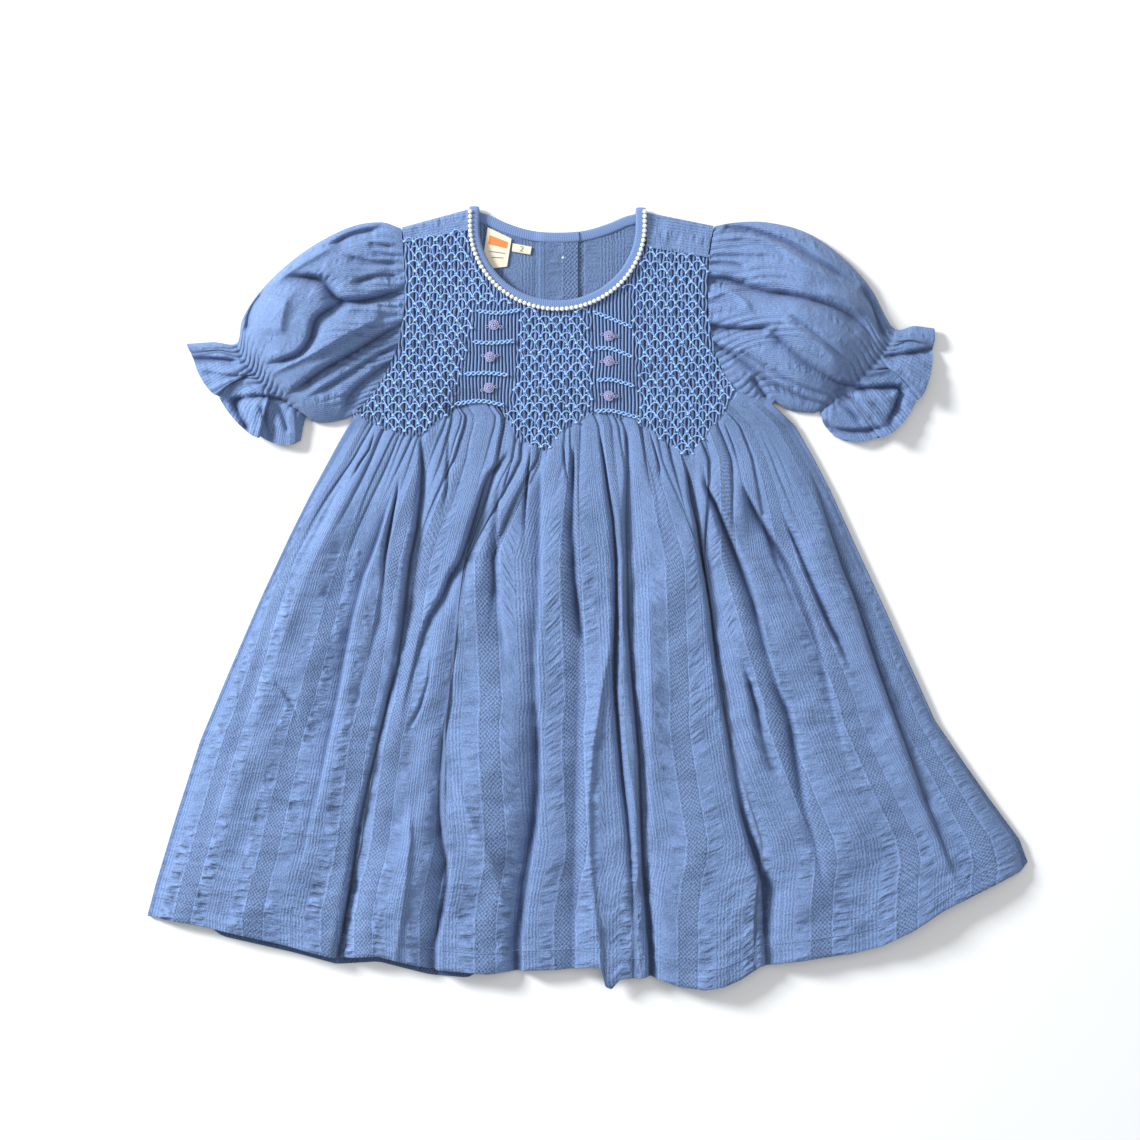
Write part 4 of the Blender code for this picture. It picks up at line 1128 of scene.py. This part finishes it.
# The shoulder strips come over from the back and end at the front seam.
def shoulderStrip(name, ends, material):
    t, s = unitGrid(strip["columns"], strip["rows"])
    (seamX, seamY), (foldX, foldY) = ([start + (end - start) * t for start, end in zip(one, other)]
                                      for one, other in zip(*ends))
    radius = strip["foldRadius"]
    along = s * (foldY - seamY + strip["behind"] + math.pi * radius)
    straight = foldY - seamY - radius + strip["overlap"]
    angle = np.clip((along - straight) / radius, 0, math.pi)
    y = np.where(along < straight, seamY - strip["overlap"] + along,
                 foldY - radius + radius * np.sin(angle))
    y = y - np.maximum(along - straight - math.pi * radius, 0)
    x = seamX + (foldX - seamX) / (foldY - seamY) * (y - seamY)
    z = radius + 0.1 + radius * np.cos(angle)
    z = z + 0.25 * ripple(x, y, 18, 31) * (along < straight)
    z = z + strip["seamRise"] * smooth(2.5, 0, along)
    points = np.stack([x, y, np.maximum(z, 0.1)], -1)
    return makeGrid(name, points, np.stack([along * finer, x], -1) * mm, material)


backPanels = dict(
    halfGrid=(110, 120),           # columns and rows
    skirtGrid=(150, 60),
    waist=108.0,
    inset=4.8,                     # how far the side edges lie inside the front's
    skirtLevel=0.8,
    peeping=9,                     # how far the back hem shows below the front one at the left
)


# One half of the back bodice, from the waist seam up to the neck and shoulder.
def makeBackHalf(name, leftHalf, materials):
    across, up = unitGrid(*backPanels["halfGrid"])
    waist, inset = backPanels["waist"], backPanels["inset"]
    y = waist + 120 * up
    back = throughPoints(neckBack, 6).tolist()
    for _ in range(6):
        edges = yokeEdges(np.maximum(y, 114))
        if leftHalf:
            left, right = np.where(y < 116, table(sideLeft, y) + inset, edges[0]), placketEdge
        else:
            left, right = placketHidden, np.where(y < 122, table(sideRight, y) - inset, edges[1])
        x = left + across * (right - left)
        high = np.where((x > back[0][0]) & (x < back[-1][0]), table(back, x) - 1.0,
                        shoulderY(x, shoulderBacks))
        y = waist + up * (high - waist)
    lap = smooth(placketHidden - 3, placketHidden, x) * leftHalf
    z = backCloth + (lapCloth - backCloth) * lap + 0.12 * ripple(x, y, 25, 41 if leftHalf else 42)
    # Painted shade along the step where the left half rises over the hidden edge of the right half.
    paintedShade = 0.25 * smooth(-12, 0, -np.abs(x - placketHidden)) * leftHalf
    return makeGrid(name, np.stack([x, y, z], -1), np.stack([x + 9, y], -1) * mm,
                    materials["inside"], paintedShade[..., None])


def makeBackSkirt(materials):
    across, down = unitGrid(*backPanels["skirtGrid"])
    waist, inset = backPanels["waist"], backPanels["inset"]
    y = waist - 300 * down
    smoothHem = [place for place in hem if not 5 < place[0] < 40]
    for _ in range(6):
        left, right = table(sideLeft, y) + inset, table(sideRight, y) - inset
        x = left + across * (right - left)
        peeping = smooth(-245, -225, x) * (1 - smooth(-76, -60, x))
        y = waist + down * (table(smoothHem, x) + 4 - backPanels["peeping"] * peeping - waist)
    z = backPanels["skirtLevel"] + 0.15 * ripple(x, y, 40, 51)
    # The back skirt gets an even painted shade, as it lies under the front.
    return makeGrid("skirt_back", np.stack([x, y, z], -1), np.stack([x, y], -1) * mm,
                    materials["inside"], (0.35 + 0 * x)[..., None])


# Sleeves, ring by ring from the armhole to the edge of the frill: four points of the ring's
# curve in plan, and its height.
sleeveLeft = (
    ((-129, 232.5), (-129, 190), (-128, 150), (-149, 110.8), 11),
    ((-150, 228.5), (-154, 190), (-148, 150), (-156, 108.8), 17),
    ((-178, 212.5), (-180, 180), (-172, 145), (-164, 107.8), 22),
    ((-202, 191), (-200, 165), (-186, 138), (-170, 108.6), 21),
    ((-214, 173), (-208, 152), (-192, 134), (-173, 110), 16),
    ((-218, 157.5), (-212, 138), (-196, 128), (-174.5, 111.5), 10),
    ((-232, 158), (-226, 136), (-204, 116), (-176, 108), 11),
    ((-249, 157), (-240, 132), (-205, 84), (-178, 97), 9.5),
)
sleeveRight = (
    ((92, 232.3), (84, 190), (88, 140), (119, 119.2), 11),
    ((112, 232.3), (112, 190), (108, 150), (125, 115.8), 17),
    ((136, 226), (140, 185), (128, 150), (131, 114.8), 22),
    ((158, 211), (160, 175), (146, 145), (137, 114.2), 21),
    ((176, 191.5), (174, 164), (158, 138), (141, 114), 16),
    ((190, 167), (184, 144), (164, 132), (144.5, 114.8), 10),
    ((203, 168), (200, 142), (172, 116), (147, 107), 11),
    ((215.5, 166.5), (217, 130), (190, 85), (154, 99), 9.5),
)

# Valleys and ridges of the sleeves: pixels from end to end, height and half width.
creasesLeft = (
    (((400, 290), (375, 298), (350, 302), (335, 297), (320, 280), (290, 277)), -6.5, 4.5),
    (((338, 304), (318, 320), (311, 342), (298, 357), (268, 366)), -5.5, 4),
    (((400, 325), (385, 333), (372, 341), (350, 355), (325, 370), (300, 388), (288, 396)), -6, 4),
    (((375, 322), (345, 338), (315, 356), (270, 377)), 3, 6),
    (((395, 313), (365, 310), (342, 312)), 2, 4),
    (((290, 300), (285, 320), (283, 338)), 2.4, 9),
    (((375, 228), (350, 234), (330, 246)), -3, 3.5),
    (((392, 246), (368, 243)), -2, 2.4),
    (((396, 262), (370, 262), (345, 256)), -2.4, 3),
    (((398, 275), (375, 276), (352, 284)), -3, 2.6),
    (((398, 256), (372, 252)), -1.4, 2),
    (((399, 307), (378, 306)), -1.8, 2),
    (((396, 345), (370, 360), (340, 380), (310, 398)), -3, 3),
    (((390, 362), (368, 378), (350, 395), (345, 412)), -4, 4),
    (((262, 292), (250, 310), (246, 335)), -3, 4),
    (((330, 250), (300, 268), (275, 285)), 2, 7),
    (((186, 359), (210, 358), (240, 361)), -4, 2.6),
    (((230, 399), (262, 396), (290, 402)), -3.4, 2.4),
    (((232, 400), (240, 416), (250, 434)), -4.2, 2.6),
    (((262, 408), (266, 425), (270, 442)), -1.8, 2.2),
    (((278, 406), (284, 420), (288, 434)), -1.8, 2.2),
    (((206, 372), (228, 376), (252, 376)), -2, 2.4),
)
creasesRight = (
    (((728, 226), (756, 231), (790, 244), (814, 259), (838, 273), (862, 287)), -4.5, 4),
    (((862, 289), (872, 305), (878, 323), (886, 341)), -4, 3),
    (((720, 240), (750, 238), (776, 246), (794, 259), (812, 271), (848, 288)), 2.2, 3),
    (((708, 277), (730, 279), (750, 287), (770, 293), (786, 295), (810, 301), (830, 307), (850, 316),
      (864, 327), (871, 343)), -6.5, 4.5),
    (((712, 262), (735, 264), (748, 271)), -2, 2.4),
    (((714, 255), (745, 256), (775, 257)), -1.5, 2.6),
    (((708, 299), (728, 293), (742, 302), (752, 316)), 2, 3),
    (((708, 325), (730, 328), (752, 329), (772, 328)), -5, 3.5),
    (((772, 334), (786, 347), (802, 361), (820, 373), (842, 384), (868, 387)), -5.5, 4.5),
    (((780, 322), (802, 337), (822, 351), (842, 371)), 2.8, 6),
    (((790, 318), (812, 334), (830, 349), (846, 363)), -2.2, 2.6),
    (((712, 343), (730, 352), (744, 362), (760, 374), (774, 384),
      (794, 394), (814, 402), (830, 405)), -4, 3),
    (((742, 352), (765, 368), (790, 383), (815, 392), (835, 397)), -2.5, 3),
    (((752, 378), (760, 388), (768, 400)), -3.5, 2.5),
    (((820, 295), (845, 303), (862, 315)), 1.6, 4),
    (((838, 389), (866, 388), (898, 387), (895, 405), (883, 428)), -4.5, 2.6),
    (((886, 356), (912, 352), (937, 347)), -3.6, 2.6),
    (((822, 420), (838, 429), (862, 430), (884, 427)), -3.6, 2.4),
    (((845, 395), (865, 402), (880, 408)), -1.6, 2.2),
    (((838, 401), (852, 412), (864, 421)), -1.6, 2.2),
)

puff = dict(
    rings=190,
    across=170,
    edge=2.9,                      # height of its edges
    elasticRing=6,
    creaseBoost=1.4,               # how much deeper the creases are than in the solids
    armholeGathers=(25, 1.7),      # how many, and how deep
    cuffGathers=(17, 2.0),
    elasticDepth=1.6,
    frillWaves=3.2,
    frillSwing=8.5,                # how far the frill's waves reach along it, out and up
    frillFlare=1.8,
    frillLift=3.2,
    underSteps=12,
    underLevel=0.2,
    clothSize=(0.17, 0.0155),      # metres of cloth across a ring, and from ring to ring
)


# Rows of points drawn through a few rows, at places from 0 to the last row's number.
def splineRows(rows, places):
    rows = np.asarray(rows, float)
    padded = np.concatenate([[2 * rows[0] - rows[1]], rows, [2 * rows[-1] - rows[-2]]])
    low = np.clip(places.astype(int), 0, len(rows) - 2)
    t = (places - low).reshape((-1,) + (1,) * (rows.ndim - 1))
    return spline(*(padded[low + k] for k in range(4)), t)


# A puffed sleeve: gathered at the armhole, drawn in by elastic, with a frill beyond it.
def makeSleeve(name, curve, rows, creases, number, material):
    keys = [(*curve, smockPoint)] + list(rows)
    count, across, elastic, edge = puff["rings"], puff["across"], puff["elasticRing"], puff["edge"]
    places = np.linspace(0, len(keys) - 1, count)
    controls = splineRows([row[:4] for row in keys], places)
    heights = splineRows([row[4] for row in keys], places)[:, None]
    t, place = np.meshgrid(np.linspace(0, 1, across), places)
    plan = bezier([controls[:, k, None] for k in range(4)], t)
    rim = np.sin(math.pi * t)
    z = edge + (heights - edge) * np.maximum(rim, 0)**(0.35 + 0.25 * smooth(0, 1.5, place))
    wander = t + 0.012 * ripple(place * 12, t * 60, 30, number)
    frill = smooth(elastic, elastic + 1, place)
    turn = 2 * math.pi * puff["frillWaves"] * wander + number
    swing = puff["frillSwing"] * frill * np.sin(turn) * rim
    flare = puff["frillFlare"] * smooth(elastic + 1, elastic + 2, place) * np.sin(turn + 1) * rim
    tangent, outward = np.gradient(plan, axis=1), np.gradient(plan, axis=0)
    for direction, reach in ((tangent, swing), (outward, flare)):
        direction /= np.linalg.norm(direction, axis=2)[..., None] + 1e-9
        plan = plan + direction * reach[..., None]
    x, y = plan[..., 0], plan[..., 1]
    # Painted shade along the deeper valley creases.
    shadeCore = np.zeros(z.shape)
    for trace, height, width in creases:
        line = [tuple(p) for p in throughPoints(traced(trace), 5)]
        away, along, lit = nearLine(line, x, y)
        fade = np.minimum(1, np.minimum(5 * along + 0.5, 5 * (1 - along) + 0.1))
        steep = width * (0.3 + 1.1 * smooth(0.6, -0.6, lit * np.sign(-height)))
        z = z + puff["creaseBoost"] * height * fade * np.exp(-(away / steep)**1.35)
        if height < -1:
            shadeCore = np.maximum(shadeCore, -height / 9 * fade * np.exp(-(away / 1.3)**1.5))
    # Gathers at the armhole seam.
    gatherCount, depth = puff["armholeGathers"]
    seam = np.abs(np.sin(math.pi * gatherCount * wander))**0.7
    reach = 1.3 + 0.7 * ripple(t * 40, 0 * t, 7, number + 1)
    z = z + depth * smooth(1.6, 0, place - reach + 0.6) * (seam - 0.6) * rim**0.3
    # Gathers that the elastic draws in, on both sides of it.
    gatherCount, depth = puff["cuffGathers"]
    cuff = np.abs(np.sin(math.pi * gatherCount * wander + 0.6))**0.8
    beside = place - elastic
    near = np.exp(-(beside / np.where(beside <= 0, 0.9, 1.2))**2)
    z = z + depth * near * (cuff - 0.6) * rim**0.3
    z = z - puff["elasticDepth"] * np.exp(-(beside / 0.16)**2)
    z = z + frill * (puff["frillLift"] * np.sin(turn) * rim**0.5 + 0.5 * np.sin(8 * turn + number) * rim)
    z = z + 0.3 * ripple(x, y, 20, number + 2) * rim
    z = np.maximum(z, edge - 1)
    # Painted shade in the hollows and along the creases.
    paintedShade = np.clip(np.maximum(hollows(z, 4, 3.4), shadeCore), 0, 0.85)
    points = np.concatenate([plan, z[..., None]], -1)
    # The underside runs back below the same points.
    steps = puff["underSteps"]
    shares = np.linspace(0, 1, steps + 1)[1:]
    under = points[:, across - 1 - np.round(shares * (across - 1)).astype(int)]
    under[:, :-1, 2] = puff["underLevel"]
    points = np.concatenate([points, under], 1)
    run = np.concatenate([np.linspace(0, 1, across), 1 + np.linspace(0, 1, steps)])
    wide, ringApart = puff["clothSize"]
    uv = np.stack(np.meshgrid(run * wide * finer, places * ringApart), -1)
    # The underside gets an even painted shade.
    paintedShade = np.concatenate([paintedShade, np.full((count, steps), 0.4)], 1)
    return makeGrid(name, points, uv, material, paintedShade[..., None])


tapes = dict(
    label=((-66, 203), (-50, 205), (-47.2, 222.3), (-62, 229.4)),
    stripe=((0.12, 0.62), (0.88, 0.62), (0.88, 0.84), (0.12, 0.84)),   # as shares of the label
    lines=((0.45, 0.2, 0.85), (0.3, 0.35, 0.8)),                      # height, and both ends
    tab=((-47, 214.4), (-35.6, 212.4), (-34.6, 217.2), (-46.4, 219.4)),
    two=((-0.9, 1.1), (-0.3, 1.6), (0.6, 1.4), (0.8, 0.7), (0.1, -0.3), (-0.9, -1.4), (0.9, -1.4)),
)


def flatPatch(name, corners, level, size, material):
    s, t = unitGrid(*size)
    plan = inPatch(corners, s[..., None], t[..., None])
    z = np.full(plan.shape[:2] + (1,), float(level))
    return makeGrid(name, np.concatenate([plan, z], -1), plan * mm, material)


# A short tape, folded double at its lower edge.
def foldedTape(name, corners, level, material):
    rows = [(t, 0.0) for t in (1, 0.75, 0.5, 0.25, 0.03)] + [(-0.03, 0.25)] \
        + [(t, 0.5) for t in (0.03, 0.25, 0.5, 0.75, 1)]
    points = np.array([[(*inPatch(corners, s, t), level - down) for s in np.linspace(0, 1, 7)]
                       for t, down in rows])
    return makeGrid(name, points, points[..., :2] * mm, material)


# The label and size tab inside the neck. Their marks are plain shapes.
def makeLabels(materials):
    label = flatPatch("neck_label", tapes["label"], backCloth + 1.1, (8, 12), materials["cream"])
    tab = foldedTape("size_tape", tapes["tab"], backCloth + 1.2, materials["cream"])
    level = backCloth + 1.25
    corners = [inPatch(tapes["label"], s, t) for s, t in tapes["stripe"]]
    stripe = flatPatch("label_stripe", corners, level, (4, 3), materials["orange"])
    lines = [([(*inPatch(tapes["label"], s, t), level) for s in ends], 0.22)
             for t, *ends in tapes["lines"]]
    lettering = makeTubes("label_lines", lines, materials["ink"])
    a, b, c, d = (np.array(corner) for corner in tapes["tab"])
    middle, right, up = (a + b + c + d) / 4, (b - a) / 12, (d - a) / 5
    line = [(*(middle + right * x + up * y), backCloth + 1.35) for x, y in tapes["two"]]
    number = makeTubes("size_number", [(line, 0.2)], materials["ink"])
    return label, tab, [stripe, lettering, number]


threadSpot = dict(pixel=(563, 257), level=backCloth + 1.2, size=(1.1, 0.8, 0.5), turn=0.6)


# The end of a sewing thread that shows inside the neck.
def makeThreadEnd(materials):
    place = (*fromPhoto(*threadSpot["pixel"]), threadSpot["level"])
    return makeLumps("thread_end", [(place, threadSpot["size"], threadSpot["turn"])], materials["pearl"])


buttonPlan = dict(x=-15.2, y=(208, 163, 118), radius=5.0, thick=1.2)


def makeButtons(materials):
    made = []
    for i, y in enumerate(buttonPlan["y"]):
        bpy.ops.mesh.primitive_cylinder_add(
            vertices=48, radius=buttonPlan["radius"] * mm, depth=buttonPlan["thick"] * mm,
            location=(buttonPlan["x"] * mm, y * mm, buttonPlan["thick"] / 2 * mm))
        item = bpy.context.object
        item.name = "sewn_button_%d" % (i + 1)
        item.data.materials.append(materials["button"])
        for polygon in item.data.polygons:
            polygon.use_smooth = len(polygon.vertices) == 4
        made.append(item)
    return made


# The pale table and its two lights: place in metres, size, power and colour.
studio = dict(
    floor=(0.93, 0.93, 0.93, 1),
    sky=(0.93, 0.96, 1.0, 1),
    skyPower=0.42,
    lights=dict(key=((-1.75, 0.95, 1.10), 0.6, 78, (0.93, 0.97, 1.0)),
                top=((0.3, 0.3, 2.4), 1.8, 16, (1.0, 0.98, 0.95))),
    lens=85,
    sensor=36,
    cameraRise=0.006,
)


def addStage():
    bpy.ops.mesh.primitive_plane_add(size=6, location=(0, 0, -0.0005))
    floor = bpy.context.object
    floor.name = "floor"
    material = bpy.data.materials.new("pale_floor")
    material.use_nodes = True
    shader = material.node_tree.nodes["Principled BSDF"]
    shader.inputs["Base Color"].default_value = studio["floor"]
    shader.inputs["Roughness"].default_value = 0.9
    floor.data.materials.append(material)
    world = bpy.data.worlds.new("studio")
    bpy.context.scene.world = world
    world.use_nodes = True
    background = world.node_tree.nodes["Background"]
    background.inputs[0].default_value = studio["sky"]
    background.inputs[1].default_value = studio["skyPower"]
    for name, (place, size, power, tint) in studio["lights"].items():
        light = bpy.data.lights.new(name, "AREA")
        light.size = size
        light.energy = power
        light.color = tint
        item = bpy.data.objects.new(name, light)
        bpy.context.scene.collection.objects.link(item)
        item.location = place
        item.rotation_euler = Vector(place).to_track_quat("Z", "Y").to_euler()
    return floor


def addCamera():
    camera = bpy.data.cameras.new("camera")
    item = bpy.data.objects.new("camera", camera)
    bpy.context.scene.collection.objects.link(item)
    camera.lens = studio["lens"]
    camera.sensor_width = studio["sensor"]
    camera.clip_end = 20
    x, y = fromPhoto(photoSize / 2, photoSize / 2)
    width = photoSize * photoScale * mm
    item.location = (x * mm, y * mm, width * camera.lens / camera.sensor_width + studio["cameraRise"])
    scene = bpy.context.scene
    scene.camera = item
    scene.render.resolution_x = scene.render.resolution_y = 1024
    scene.render.engine = "CYCLES"
    scene.cycles.samples = 96
    scene.view_settings.view_transform = "Standard"
    scene.view_settings.look = "None"


def saveSize():
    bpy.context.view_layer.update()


def main():
    for item in list(bpy.data.objects):
        bpy.data.objects.remove(item, do_unlink=True)
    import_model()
    saveSize()
    materials = makeMaterials()

    skirt, hemStitches = makeSkirt(materials)
    print("skirt made")
    yoke = makeYoke(materials)
    stitches = makeStitches(materials)
    rosePiece = makeRoses(materials)
    print("yoke and smocking made")
    binding = makeBinding(materials)
    pearls = makePearls(materials)
    backLeft = makeBackHalf("back_left", True, materials)
    backRight = makeBackHalf("back_right", False, materials)
    stripLeft = shoulderStrip("shoulder_left", shoulderLeft, materials["sleeve"])
    stripRight = shoulderStrip("shoulder_right", shoulderRight, materials["sleeve"])
    backSkirt = makeBackSkirt(materials)
    print("neck and back made")
    sleeves = [makeSleeve("puff_left", armholeLeft, sleeveLeft, creasesLeft, 71, materials["sleeve"]),
               makeSleeve("puff_right", armholeRight, sleeveRight, creasesRight, 83, materials["sleeve"])]
    print("sleeves made")
    label, tab, labelMarks = makeLabels(materials)
    buttons = makeButtons(materials)
    threadEnd = makeThreadEnd(materials)

    pieces = [skirt, hemStitches, yoke, *stitches, rosePiece, binding, pearls, backLeft, backRight,
              stripLeft, stripRight, backSkirt, *sleeves, label, tab, *labelMarks, *buttons,
              threadEnd]
    for piece in pieces:
        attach(piece, "root")
    for piece, nodes in ((skirt, ["front"]), (backLeft, ["back_bodice_left"]),
                         (backRight, ["back_bodice_right"]), (backSkirt, ["back_skirt"]),
                         (binding, ["neck_binding"]), (sleeves[0], ["sleeve_left"]),
                         (sleeves[1], ["sleeve_right"]), (label, ["label"]), (tab, ["size_tab"])):
        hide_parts(*nodes)
    for i, button in enumerate(buttons):
        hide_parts("button_%d" % (i + 1))

    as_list(labelMarks[:2])
    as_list(labelMarks[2:])

    addStage()
    addCamera()
    saveSize()


main()
